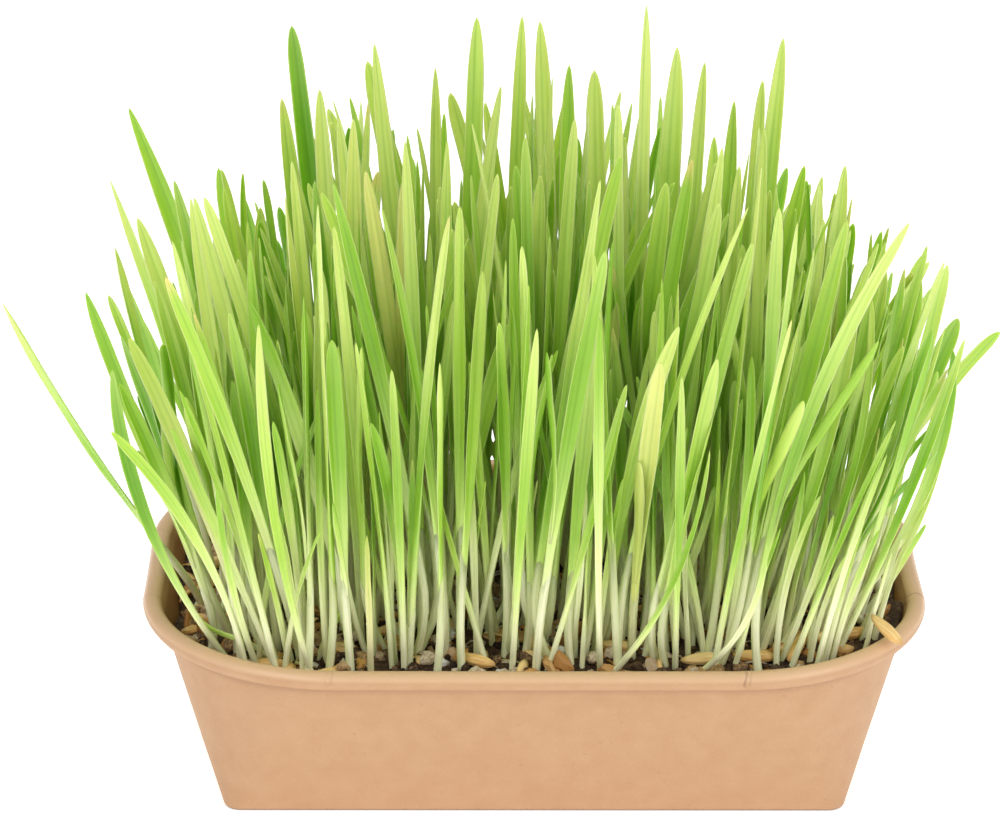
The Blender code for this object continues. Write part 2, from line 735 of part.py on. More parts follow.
def turned(vertices, heading_deg, dip_deg):
    """Vertices dipped about Y, then turned about Z."""
    dip, heading = math.radians(dip_deg), math.radians(heading_deg)
    x = vertices[:, 0] * math.cos(dip) + vertices[:, 2] * math.sin(dip)
    z = vertices[:, 2] * math.cos(dip) - vertices[:, 0] * math.sin(dip)
    y = vertices[:, 1]
    cos, sin = math.cos(heading), math.sin(heading)
    return np.column_stack([x * cos - y * sin, x * sin + y * cos, z])


def laid_down(vertices, x, y):
    """Vertices moved to a place and set down just clear of the soil's highest clods there."""
    moved = vertices + np.array([x, y, 0.0])
    lift = np.max(soil_level(moved[:, 0]) + 2 * CLOD_HEIGHT - moved[:, 2])
    return moved + np.array([0.0, 0.0, lift + GROUND_GAP - CLODS_UNDER * CLOD_HEIGHT])


def loose_pieces():
    """Name, finish, vertices and faces of each loose grain and stone."""
    vertices, faces = grain_mesh()
    pieces = []
    for x, y, heading, dip in GRAINS:
        placed = laid_down(turned(vertices, heading, dip), x * MM, y * MM)
        pieces.append((f"grain_{len(pieces) + 1:02d}", "grain_husk", placed, faces))
    placed = turned(vertices, RIM_GRAIN_HEADING, RIM_GRAIN_DIP) + np.array(RIM_GRAIN_PLACE)
    pieces.append((f"grain_{len(pieces) + 1:02d}", "grain_husk", placed, faces))
    random = np.random.default_rng(STONE_SEED)
    for number, (x, y, size, white) in enumerate(STONES, 1):
        vertices, faces = stone_mesh(size * MM, random)
        placed = laid_down(turned(vertices, random.uniform(0, 360), 0), x * MM, y * MM)
        pieces.append((f"stone_{number:02d}", "perlite" if white else "gravel", placed, faces))
    return pieces


def join_tuft(tuft, name, bed, centre, collection, material):
    """Joins a tuft's shoots to its root mat by one union, and drops the loose shoots."""
    mat = make_mat(name, centre, 0.0, 0.0, collection)
    mat.data.materials.append(material)
    shoots = new_collection(name + "_shoots")
    for number, shoot in enumerate(s for s in bed.shoots if s.tuft == tuft):
        add_object(f"{name}_{number}", *shoot_mesh(shoot), shoots, material)
    union = mat.modifiers.new("shoots", "BOOLEAN")
    union.operation = "UNION"
    union.operand_type = "COLLECTION"
    union.collection = shoots
    apply_modifiers(mat)
    for loose in list(shoots.objects):
        bpy.data.objects.remove(loose, do_unlink=True)
    bpy.data.collections.remove(shoots)


def cut_pockets(soil, centres, cutters):
    """Cuts a pocket in the soil for each root mat."""
    for number, centre in enumerate(centres, 1):
        hide_cutter(make_mat(f"pocket_{number:02d}", centre, GAP, POCKET_RISE, cutters))
    cut = soil.modifiers.new("pockets", "BOOLEAN")
    cut.operation = "DIFFERENCE"
    cut.operand_type = "COLLECTION"
    cut.collection = cutters


def main():
    """Builds the tray, the soil, the loose pieces and the tufts."""
    clear_scene()
    model = new_collection("wheatgrass_tray")
    cutters = new_collection("cutters")
    finishes = make_finishes()
    make_tray_wall(model, finishes["kraft_paper"])
    make_tray_base(model, finishes["kraft_paper"])
    soil = make_substrate(model, finishes["potting_soil"])
    centres = mat_centres()
    cut_pockets(soil, centres, cutters)
    pieces = loose_pieces()
    for name, finish, vertices, faces in pieces:
        add_object(name, vertices, faces, model, finishes[finish])
    bed = Bed(centres, [(vertices, faces) for _, _, vertices, faces in pieces])
    random = np.random.default_rng(SEED)
    plant_low_sprouts(bed)
    plant_key_shoots(bed, random)
    plant_random_shoots(bed, random)
    for tuft, centre in enumerate(centres):
        join_tuft(tuft, f"tuft_{tuft + 1:02d}", bed, centre, model, finishes["grass"])


main()
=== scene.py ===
"""Looks of a wheatgrass tray: cereal grass grown from husked grain in dark soil in a kraft paper tray.

Lengths are in metres. +X runs along the tray, -Y is its front and +Z is up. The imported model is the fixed
frame. The grass is drawn by the same seeded rule as the frame's tufts, so each fine blade lies where the
plain one does.
"""
import json
import logging
import math
from dataclasses import dataclass, field
from enum import Enum
from typing import Any

import bmesh
import bpy
import numpy as np
from bpy.types import ID, Material, Node, NodeTree, Object
from mathutils import Matrix, Quaternion
from mathutils.bvhtree import BVHTree

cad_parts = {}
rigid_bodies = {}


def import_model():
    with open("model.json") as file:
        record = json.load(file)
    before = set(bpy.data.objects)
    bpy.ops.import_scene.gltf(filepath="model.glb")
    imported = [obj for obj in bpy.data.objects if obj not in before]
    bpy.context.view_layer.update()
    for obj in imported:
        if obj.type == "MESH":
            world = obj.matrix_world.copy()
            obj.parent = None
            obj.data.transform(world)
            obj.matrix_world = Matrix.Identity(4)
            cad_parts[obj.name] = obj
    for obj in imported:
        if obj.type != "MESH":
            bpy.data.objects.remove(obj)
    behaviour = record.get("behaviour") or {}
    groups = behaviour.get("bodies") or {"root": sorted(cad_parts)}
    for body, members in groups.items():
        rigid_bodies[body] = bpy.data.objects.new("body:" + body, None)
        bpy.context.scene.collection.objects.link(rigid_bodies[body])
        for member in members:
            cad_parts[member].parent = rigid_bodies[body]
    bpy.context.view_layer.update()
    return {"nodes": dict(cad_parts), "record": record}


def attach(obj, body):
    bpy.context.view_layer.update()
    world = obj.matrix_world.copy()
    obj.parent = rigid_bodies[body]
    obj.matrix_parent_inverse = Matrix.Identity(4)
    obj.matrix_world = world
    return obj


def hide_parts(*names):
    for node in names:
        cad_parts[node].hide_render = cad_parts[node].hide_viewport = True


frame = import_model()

log = logging.getLogger("wheatgrass_tray")
Array = np.ndarray

MM = 0.001
BODY = "root"
LOOSE_NODES = [name for name in sorted(frame["nodes"]) if name.startswith(("grain_", "stone_"))]
FULL_TURN = 2 * math.pi


class Slot(Enum):
    """The record's material slots."""

    PAPER = "kraft_paper"
    SOIL = "potting_soil"
    GRASS = "grass"
    HUSK = "grain_husk"
    GRAVEL = "gravel"
    PERLITE = "perlite"


class BladeKind(Enum):
    """How a blade has grown and aged."""

    MAIN = "main"
    SIDE = "side"
    YOUNG = "young"
    SPROUT = "sprout"


# Small tools


def linear(colour: str) -> tuple[float, float, float, float]:
    """Turns an sRGB hex colour into linear red, green, blue and alpha.

    Args:
        colour: Six hex digits after a hash.

    Returns:
        The linear colour: v / 12.92 below 0.04045, otherwise ((v + 0.055) / 1.055) to the power 2.4.
    """
    parts = [int(colour[i : i + 2], 16) / 255 for i in (1, 3, 5)]
    made = [v / 12.92 if v <= 0.04045 else ((v + 0.055) / 1.055) ** 2.4 for v in parts]
    return (made[0], made[1], made[2], 1.0)


def smooth(t: Array | float) -> Array:
    """Eases 0 to 1 without a corner at either end: 3t^2 - 2t^3 of t kept within 0 and 1."""
    t = np.clip(t, 0.0, 1.0)
    return t * t * (3.0 - 2.0 * t)


def unit(vectors: Array) -> Array:
    """Vectors scaled to length 1, each along the last axis."""
    return vectors / np.linalg.norm(vectors, axis=-1, keepdims=True)


def angles(count: int) -> Array:
    """Angles that part a full turn evenly, from 0."""
    return np.arange(count) * FULL_TURN / count


def new_object(name: str, data: ID) -> Object:
    """Adds an object to the scene."""
    made = bpy.data.objects.new(name, data)
    bpy.context.scene.collection.objects.link(made)
    return made


def lattice_noise(points: Array, pitch: float, seed: int) -> Array:
    """Smooth random values on points in space.

    Each corner of a cubic lattice has a value hashed from its place. A point blends the eight corners round
    it, each with the product of its smoothed shares along the three axes.

    Args:
        points: Places, one row each.
        pitch: Distance between lattice corners.
        seed: Chooses another set of corner values.

    Returns:
        One value from -1 to 1 for each point.
    """
    place = points / pitch + 1000.0
    low = np.floor(place).astype(np.int64)
    share = smooth(place - low)
    total = np.zeros(len(points))
    for corner in range(8):
        step = np.array([corner & 1, corner >> 1 & 1, corner >> 2 & 1])
        key = (low + step) @ np.array([374761393, 668265263, 2147483647]) + seed * 1274126177
        key = (key ^ (key >> 13)) * 1103515245
        value = ((key ^ (key >> 16)) & 0xFFFF) / 32767.5 - 1.0
        total += value * np.prod(np.where(step == 1, share, 1.0 - share), axis=1)
    return total


def set_sockets(node: Node, inputs: dict[str | int, Any]) -> None:
    """Sets each socket to its value, or links it where that is a pair of another node and its output."""
    for name, value in inputs.items():
        if isinstance(value, tuple) and isinstance(value[0], Node):
            node.id_data.links.new(value[0].outputs[value[1]], node.inputs[name])
        else:
            node.inputs[name].default_value = value


def add_node(tree: NodeTree, kind: str, inputs: dict[str | int, Any] | None = None, **settings: Any) -> Node:
    """Adds one shader node with its settings and links.

    Args:
        tree: The material's node tree.
        kind: The node's type, without the word that all shader nodes share.
        inputs: Values and links by socket, as set_sockets takes them.
        **settings: Properties by name. "stops" fills a colour ramp with places and hex colours.

    Returns:
        The node.
    """
    node = tree.nodes.new("ShaderNode" + kind)
    stops = settings.pop("stops", ())
    for place, _ in stops[1:-1]:
        node.color_ramp.elements.new(place)
    for number, (place, colour) in enumerate(stops):
        stop = node.color_ramp.elements[number]
        stop.position, stop.color = place, linear(colour)
    for name, value in settings.items():
        setattr(node, name, value)
    set_sockets(node, inputs or {})
    return node


# Sockets of the colour Mix node
FACTOR = 0
FIRST = 6
SECOND = 7
MIXED = 2


def layered(tree: NodeTree, colour: tuple[Node, Any], layers: list[tuple[Any, str, str]]) -> tuple[Node, Any]:
    """Lays tints over a colour, one after another.

    Args:
        tree: The material's node tree.
        colour: The node that the colour comes from, and its output.
        layers: The mask of each tint, as a node and its output, its hex colour and its way of mixing.

    Returns:
        The last node and its output.
    """
    for mask, tint, blend in layers:
        sockets = {FACTOR: mask, FIRST: colour, SECOND: linear(tint)}
        colour = (add_node(tree, "Mix", sockets, data_type="RGBA", blend_type=blend), MIXED)
    return colour


def new_material(name: str) -> tuple[Material, NodeTree]:
    """Starts a material, which has a Principled shader, and gives its node tree too."""
    material = bpy.data.materials.new(name)
    material.use_nodes = True
    return material, material.node_tree


def dress(tree: NodeTree, colour: tuple[Node, Any], bump: dict[str, Any], **sockets: Any) -> None:
    """Gives a material's shader its colour and its relief, and sets its other sockets.

    Args:
        tree: The material's node tree.
        colour: The node that the colour comes from, and its output.
        bump: Height, strength and distance of the relief.
        **sockets: Values of the shader's other sockets, with _ for each space in a name.
    """
    relief = (add_node(tree, "Bump", bump), "Normal")
    named = {name.replace("_", " "): value for name, value in sockets.items()}
    set_sockets(tree.nodes["Principled BSDF"], {"Base Color": colour, "Normal": relief, **named})


@dataclass
class Patchwork:
    """Collects many small shapes for one mesh.

    Attributes:
        vertices: Arrays of places.
        quads: Arrays of four vertex numbers a face.
        triangles: Arrays of three vertex numbers a face.
        uv: Arrays of two surface coordinates a vertex.
        values: Named arrays of one number a vertex.
        count: How many vertices there are so far.
    """

    vertices: list[Array] = field(default_factory=list)
    quads: list[Array] = field(default_factory=list)
    triangles: list[Array] = field(default_factory=list)
    uv: list[Array] = field(default_factory=list)
    values: dict[str, list[Array]] = field(default_factory=dict)
    count: int = 0

    def add(
        self,
        vertices: Array,
        quads: Array | None = None,
        triangles: Array | None = None,
        uv: Array | None = None,
        **values: Array | float,
    ) -> None:
        """Adds one shape. Its faces number its own vertices from 0.

        Args:
            vertices: Places, one row each.
            quads: Faces with four corners.
            triangles: Faces with three corners.
            uv: Surface coordinates, or none where the material reads none.
            **values: One number a vertex, or one for all, by attribute name.
        """
        if quads is not None and len(quads):
            self.quads.append(np.asarray(quads) + self.count)
        if triangles is not None and len(triangles):
            self.triangles.append(np.asarray(triangles) + self.count)
        self.vertices.append(vertices)
        self.uv.append(np.zeros((len(vertices), 2)) if uv is None else uv)
        for name, value in values.items():
            self.values.setdefault(name, []).append(np.broadcast_to(value, len(vertices)))
        self.count += len(vertices)

    def add_tube(
        self,
        rings: Array,
        first: Array,
        last: Array,
        across: Array | float = 0.5,
        along: Array | float = 0.0,
        **values: Array | float,
    ) -> None:
        """Adds a tube whose two ends close onto a point each.

        Args:
            rings: Places, by ring and by column, clockwise as seen from the last ring.
            first: The point that closes the first ring.
            last: The point that closes the last ring.
            across: Surface coordinate of each column.
            along: Surface coordinate of each ring.
            **values: One number a ring, or one for all, by attribute name.
        """
        rows, columns = rings.shape[:2]
        count = rows * columns
        caps = (fan(0, columns, count, False), fan(count - columns, columns, count + 1, True))
        u = np.append(np.broadcast_to(across, (rows, columns)), [0.5, 0.5])
        by_ring = {"along": along, **values}
        for name, value in by_ring.items():
            value = np.broadcast_to(value, rows)
            by_ring[name] = np.append(np.repeat(value, columns), [value[0], value[-1]])
        uv = np.column_stack([u, by_ring.pop("along")])
        vertices = np.concatenate([rings.reshape(-1, 3), [first, last]])
        self.add(vertices, band(rows, columns)[:, ::-1], np.concatenate(caps)[:, ::-1], uv, **by_ring)

    def build(self, name: str, material: Material, slot: Slot, shade_smooth: bool = True) -> Object:
        """Makes the mesh object and lets it ride on the body.

        Args:
            name: The piece's name.
            material: Its finish.
            slot: The record's slot that the finish belongs to. Not used.
            shade_smooth: Whether its faces are shaded as one round surface.

        Returns:
            The new object.
        """
        mesh = bpy.data.meshes.new(name)
        corners = [faces.reshape(-1) for faces in self.quads + self.triangles]
        sizes = [np.full(len(faces), faces.shape[1]) for faces in self.quads + self.triangles]
        corners, sizes = np.concatenate(corners), np.concatenate(sizes)
        mesh.vertices.add(self.count)
        mesh.vertices.foreach_set("co", np.concatenate(self.vertices).astype(np.float32).ravel())
        mesh.loops.add(len(corners))
        mesh.loops.foreach_set("vertex_index", corners.astype(np.int32))
        mesh.polygons.add(len(sizes))
        mesh.polygons.foreach_set("loop_start", np.concatenate([[0], np.cumsum(sizes)[:-1]]).astype(np.int32))
        mesh.polygons.foreach_set("use_smooth", np.full(len(sizes), shade_smooth))
        layer = mesh.uv_layers.new(name="surface")
        layer.data.foreach_set("uv", np.concatenate(self.uv)[corners].astype(np.float32).ravel())
        for value_name, arrays in self.values.items():
            attribute = mesh.attributes.new(value_name, "FLOAT", "POINT")
            attribute.data.foreach_set("value", np.concatenate(arrays).astype(np.float32))
        mesh.update(calc_edges=True)
        mesh.materials.append(material)
        made = new_object(name, mesh)
        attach(made, BODY)
        log.info("%s: %d triangles", name, np.sum(sizes - 2))
        return made


def band(rows: int, columns: int, closed: bool = True) -> Array:
    """Quads between neighbouring rows of points.

    Point k of row r has the number r * columns + k. A face takes points k and k + 1 of rows r and r + 1.

    Args:
        rows: How many rows there are.
        columns: Points in a row.
        closed: Whether the last point of a row joins the first.

    Returns:
        One row of four vertex numbers for each face.
    """
    k = np.arange(columns if closed else columns - 1)
    n = (k + 1) % columns
    r = np.arange(rows - 1)[:, None] * columns
    return np.stack([r + k, r + n, r + columns + n, r + columns + k], axis=-1).reshape(-1, 4)


def fan(first: int, columns: int, tip: int, outward: bool) -> Array:
    """Triangles from a row of points to one point beyond it.

    Args:
        first: The row's first vertex number.
        columns: Points in the row.
        tip: The vertex number of the point beyond.
        outward: Whether the point lies after the row, as band counts, or before it.

    Returns:
        One row of three vertex numbers for each face.
    """
    k = np.arange(columns)
    n = (k + 1) % columns
    ends = (k, n) if outward else (n, k)
    return np.column_stack([first + ends[0], first + ends[1], np.full(columns, tip)])


# The finishes


@dataclass(frozen=True)
class KraftPaper:
    """Kraft paperboard, pressed smooth and rolled at the rim: matt and faintly mottled, with short fibres."""

    dark: str = "#BD926B"
    light: str = "#C29973"
    # Lighter tint of the roll: painted light for the light that its top catches. It also tints the light
    # fibre strands.
    rolled: str = "#E2BA92"
    damp: str = "#96683A"
    fleck: str = "#A87C50"
    # Colour that painted shade multiplies in: the roll's creases, its underside, the wall just below it and
    # the foot's edge.
    shadowed: str = "#6E4F38"
    mottle: float = 5.0 * MM
    fibre: float = 0.35 * MM
    fibre_stretch: float = 0.12
    fleck_size: float = 1.1 * MM
    roughness: float = 0.58
    rolled_roughness: float = 0.27
    grit: float = 0.25 * MM

    def material(self) -> Material:
        """Mottled, with fibres and flecks, darker where the soil wets it, and smoother on the rolled rim,
        with painted light on the roll and painted shade in its creases, under it and along the foot.
        """
        material, tree = new_material("pressed_kraft_paperboard")
        place = (add_node(tree, "TexCoord"), "Object")
        clouds, specks, grit = (
            (add_node(tree, "TexNoise", {"Vector": place, "Scale": 1 / size, "Detail": detail}), "Fac")
            for size, detail in ((self.mottle, 4.0), (self.fleck_size, 0.0), (self.grit, 2.0))
        )
        rolled, damp, crease = (
            (add_node(tree, "Attribute", attribute_name=name), "Fac") for name in ("rolled", "damp", "crease")
        )
        layers = []
        for turn, tint in ((0.3, self.rolled), (1.4, self.rolled), (2.4, self.fleck)):
            turns = {"Rotation": (turn, 0.4 * turn, turn), "Scale": (1.0, self.fibre_stretch, 1.0)}
            laid = add_node(tree, "Mapping", {"Vector": place, **turns})
            strand = {"Vector": (laid, "Vector"), "Scale": 1 / self.fibre, "Detail": 1.0}
            strands = add_node(tree, "TexNoise", strand)
            span = {"Value": (strands, "Fac"), "From Min": 0.62, "From Max": 0.8, "To Max": 0.22}
            layers.append(((add_node(tree, "MapRange", span), "Result"), tint, "MIX"))
        span = {"Value": specks, "From Min": 0.77, "From Max": 0.87, "To Max": 0.3}
        layers.append(((add_node(tree, "MapRange", span), "Result"), self.fleck, "MIX"))
        clamped = {"operation": "MULTIPLY_ADD", "use_clamp": True}
        blotches = add_node(tree, "Math", {0: clouds, 1: 1.4, 2: -0.5}, **clamped)
        soaked = add_node(tree, "Math", {0: (blotches, "Value"), 1: 0.25, 2: damp}, **clamped)
        wet = add_node(tree, "Math", {0: (soaked, "Value"), 1: damp}, operation="MULTIPLY")
        layers += [
            # Painted light: the roll is mixed towards the lighter rolled tint.
            (rolled, self.rolled, "MIX"),
            ((wet, "Value"), self.damp, "MIX"),
            # Painted shade: the crease mask darkens the roll's creases, its underside, the wall just below it
            # and the foot's edge.
            (crease, self.shadowed, "MULTIPLY"),
        ]
        stops = [(0.3, self.dark), (0.7, self.light)]
        sheet = (add_node(tree, "ValToRGB", {"Fac": clouds}, stops=stops), "Color")
        colour = layered(tree, sheet, layers)
        span = {"Value": rolled, "To Min": self.roughness, "To Max": self.rolled_roughness}
        gloss = (add_node(tree, "MapRange", span), "Result")
        fine = add_node(tree, "Bump", {"Height": grit, "Strength": 0.18, "Distance": 0.1 * MM})
        broad = {"Height": clouds, "Strength": 0.15, "Distance": 0.3 * MM, "Normal": (fine, "Normal")}
        dress(tree, colour, broad, Roughness=gloss, Specular_IOR_Level=0.5)
        return material


@dataclass(frozen=True)
class GrassLeaf:
    """Living leaf of young cereal grass: waxy, veined along its length, and lit through from behind."""

    root: str = "#FBFBD2"
    sheath: str = "#E8F2AC"
    neck: str = "#CDE67E"
    blade: str = "#9AC53E"
    deep: str = "#6CA31E"
    bright: str = "#BDDC56"
    # Lighter tint that high blades are mixed towards: painted light for the light that the top of the stand
    # catches.
    top: str = "#DAEC88"
    edge: str = "#DCEEA0"
    faded: str = "#EBD488"
    rib: str = "#A9CC70"
    band: str = "#A4C66A"
    light_band: str = "#5A6A30"
    roughness: float = 0.4
    glow: float = 0.55
    glow_depth: float = 0.8 * MM
    relief: float = 0.08 * MM

    def material(self) -> Material:
        """Pale at the foot and green above, deeper or brighter by shoot, with bands and veins along it, and
        lighter high up, which is painted light.
        """
        material, tree = new_material("fresh_cereal_leaf")
        rise, tone, age = (
            (add_node(tree, "Attribute", attribute_name=name), "Fac") for name in ("rise", "tone", "age")
        )
        surface = (add_node(tree, "UVMap", uv_map="surface"), "UV")
        split = add_node(tree, "SeparateXYZ", {"Vector": surface})
        from_middle = add_node(tree, "Math", {0: (split, "X"), 1: 0.5}, operation="SUBTRACT")
        distance = (add_node(tree, "Math", {0: (from_middle, "Value")}, operation="ABSOLUTE"), "Value")
        scales = ((5.0, 0.5, 1.0), (22.0, 1.2, 1.0))
        drawn = (add_node(tree, "Mapping", {"Vector": surface, "Scale": scale}) for scale in scales)
        bands, veins = (
            (add_node(tree, "TexNoise", {"Vector": (laid, "Vector"), "Scale": 1.0, "Detail": 2.0}), "Fac")
            for laid in drawn
        )
        spans = {
            "height": (rise, 0.0, 60.0, 1.0),
            "high": (rise, 25.0, 70.0, 1.0),
            "deep": (tone, 0.0, -1.0, 0.85),
            "bright": (tone, 0.0, 1.0, 0.85),
            "top": (rise, 80.0, 140.0, 0.85),
            "edge": (distance, 0.4, 0.5, 0.5),
            "rib": (distance, 0.1, 0.0, 0.22),
            "band": (bands, 0.5, 0.35, 0.25),
            "light_band": (bands, 0.5, 0.7, 0.25),
            "vein": (veins, 0.45, 0.7, 0.18),
            "glow": (rise, 8.0, 32.0, self.glow),
        }
        masks = {}
        for name, (source, low, high, most) in spans.items():
            sockets = {"Value": source, "From Min": low, "From Max": high, "To Max": most}
            masks[name] = (add_node(tree, "MapRange", sockets), "Result")
        for name in ("deep", "bright"):
            sockets = {0: masks[name], 1: masks["high"]}
            masks[name] = (add_node(tree, "Math", sockets, operation="MULTIPLY"), "Value")
        tints = (self.root, self.root, self.sheath, self.neck, self.blade)
        stops = list(zip((0.0, 0.18, 0.42, 0.66, 1.0), tints))
        by_height = (add_node(tree, "ValToRGB", {"Fac": masks["height"]}, stops=stops), "Color")
        layers = [
            (masks["deep"], self.deep, "MIX"),
            (masks["bright"], self.bright, "MIX"),
            # Painted light: lighter towards the top of the stand.
            (masks["top"], self.top, "MIX"),
            (age, self.faded, "MIX"),
            (masks["edge"], self.edge, "MIX"),
            (masks["rib"], self.rib, "MULTIPLY"),
            (masks["band"], self.band, "MULTIPLY"),
            (masks["light_band"], self.light_band, "SCREEN"),
            (masks["vein"], self.light_band, "SCREEN"),
        ]
        colour = layered(tree, by_height, layers)
        dress(
            tree,
            colour,
            {"Height": veins, "Strength": 0.35, "Distance": self.relief},
            Roughness=self.roughness,
            Specular_IOR_Level=0.4,
            Subsurface_Weight=masks["glow"],
            Subsurface_Radius=(0.8, 1.0, 0.4),
            Subsurface_Scale=self.glow_depth,
        )
        return material


@dataclass(frozen=True)
class OatHusk:
    """Dried husk of a cereal grain: papery and ridged along its length, golden, browner at the two points."""

    pale: str = "#F6D898"
    gold: str = "#E6B263"
    brown: str = "#A9743A"
    roughness: float = 0.5

    def material(self) -> Material:
        """Gold by grain, striped along the ridges, and brown towards the points."""
        material, tree = new_material("dried_cereal_husk")
        tone = add_node(tree, "Attribute", attribute_name="tone")
        surface = (add_node(tree, "UVMap", uv_map="surface"), "UV")
        split = add_node(tree, "SeparateXYZ", {"Vector": surface})
        drawn = add_node(tree, "Mapping", {"Vector": surface, "Scale": (16.0, 1.5, 1.0)})
        streak = {"Vector": (drawn, "Vector"), "Scale": 1.0, "Detail": 3.0}
        streaks = (add_node(tree, "TexNoise", streak), "Fac")
        shade = add_node(tree, "Math", {0: (tone, "Fac"), 1: 0.25, 2: streaks}, operation="MULTIPLY_ADD")
        stops = [(0.25, self.brown), (0.45, self.gold), (0.72, self.pale)]
        striped = (add_node(tree, "ValToRGB", {"Fac": (shade, "Value")}, stops=stops), "Color")
        from_middle = add_node(tree, "Math", {0: (split, "Y"), 1: 0.5}, operation="SUBTRACT")
        distance = add_node(tree, "Math", {0: (from_middle, "Value")}, operation="ABSOLUTE")
        span = {"Value": (distance, "Value"), "From Min": 0.34, "From Max": 0.5, "To Max": 0.6}
        ends = (add_node(tree, "MapRange", span), "Result")
        colour = layered(tree, striped, [(ends, self.brown, "MIX")])
        bump = {"Height": streaks, "Strength": 0.5, "Distance": 0.15 * MM}
        dress(tree, colour, bump, Roughness=self.roughness, Specular_IOR_Level=0.4)
        return material


@dataclass(frozen=True)
class Grainy:
    """A dull finish of two noises: the coarse one picks the colour by place and piece, the fine one is grit.

    Attributes:
        name: The material's name.
        stops: Places from 0 to 1 with their colours.
        speck, detail, harshness: The coarse noise's size, its finer layers and their strength.
        weights: Start, weight of the piece's own tone, and weight of the coarse noise.
        grit, bump, relief: The fine noise's size, strength and depth.
    """

    name: str
    stops: list[tuple[float, str]]
    speck: float
    grit: float
    relief: float
    detail: float = 3.0
    harshness: float = 0.5
    weights: tuple[float, float, float] = (0.2, 0.5, 0.6)
    bump: float = 0.6
    roughness: float = 0.85

    def material(self) -> Material:
        """The colour at start + tone * its weight + noise * its weight, with a gritty face."""
        material, tree = new_material(self.name)
        place = (add_node(tree, "TexCoord"), "Object")
        tone = add_node(tree, "Attribute", attribute_name="tone")
        noises = (
            {"Scale": 1 / self.speck, "Detail": self.detail, "Roughness": self.harshness},
            {"Scale": 1 / self.grit, "Detail": 2.0},
        )
        coarse, fine = ((add_node(tree, "TexNoise", {"Vector": place, **noise}), "Fac") for noise in noises)
        start, by_tone, by_noise = self.weights
        summed = {"operation": "MULTIPLY_ADD"}
        toned = add_node(tree, "Math", {0: (tone, "Fac"), 1: by_tone, 2: start}, **summed)
        shade = add_node(tree, "Math", {0: coarse, 1: by_noise, 2: (toned, "Value")}, **summed)
        colour = (add_node(tree, "ValToRGB", {"Fac": (shade, "Value")}, stops=self.stops), "Color")
        bump = {"Height": fine, "Strength": self.bump, "Distance": self.relief}
        dress(tree, colour, bump, Roughness=self.roughness, Specular_IOR_Level=0.3)
        return material


SOIL = Grainy(
    "moist_peat_soil",
    [(0.3, "#221710"), (0.52, "#4A3626"), (0.82, "#86694C")],
    speck=1.6 * MM,
    grit=0.4 * MM,
    relief=0.25 * MM,
    detail=5.0,
    harshness=0.65,
    weights=(0.0, 0.22, 1.0),
    bump=0.7,
    roughness=0.8,
)
GRAVEL = Grainy(
    "crushed_gravel",
    [(0.0, "#4C3A2A"), (0.25, "#7E644A"), (0.45, "#B4925F"), (0.6, "#C0A078"), (0.8, "#B6A48C")]
    + [(1.0, "#E2D0B2")],
    speck=0.6 * MM,
    grit=0.45 * MM,
    relief=0.45 * MM,
    weights=(-0.05, 0.5, 1.1),
)
PERLITE = Grainy(
    "expanded_perlite",
    [(0.0, "#CFCAC0"), (0.5, "#E9E6E0"), (1.0, "#F6F5F2")],
    speck=1.2 * MM,
    grit=0.5 * MM,
    relief=0.35 * MM,
)
ROOT = Grainy(
    "young_white_root",
    [(0.4, "#E4DDC8"), (0.65, "#A58C6B")],
    speck=3.0 * MM,
    grit=0.4 * MM,
    relief=0.05 * MM,
    weights=(0.0, 0.0, 1.0),
    roughness=0.6,
)


# The paper tray


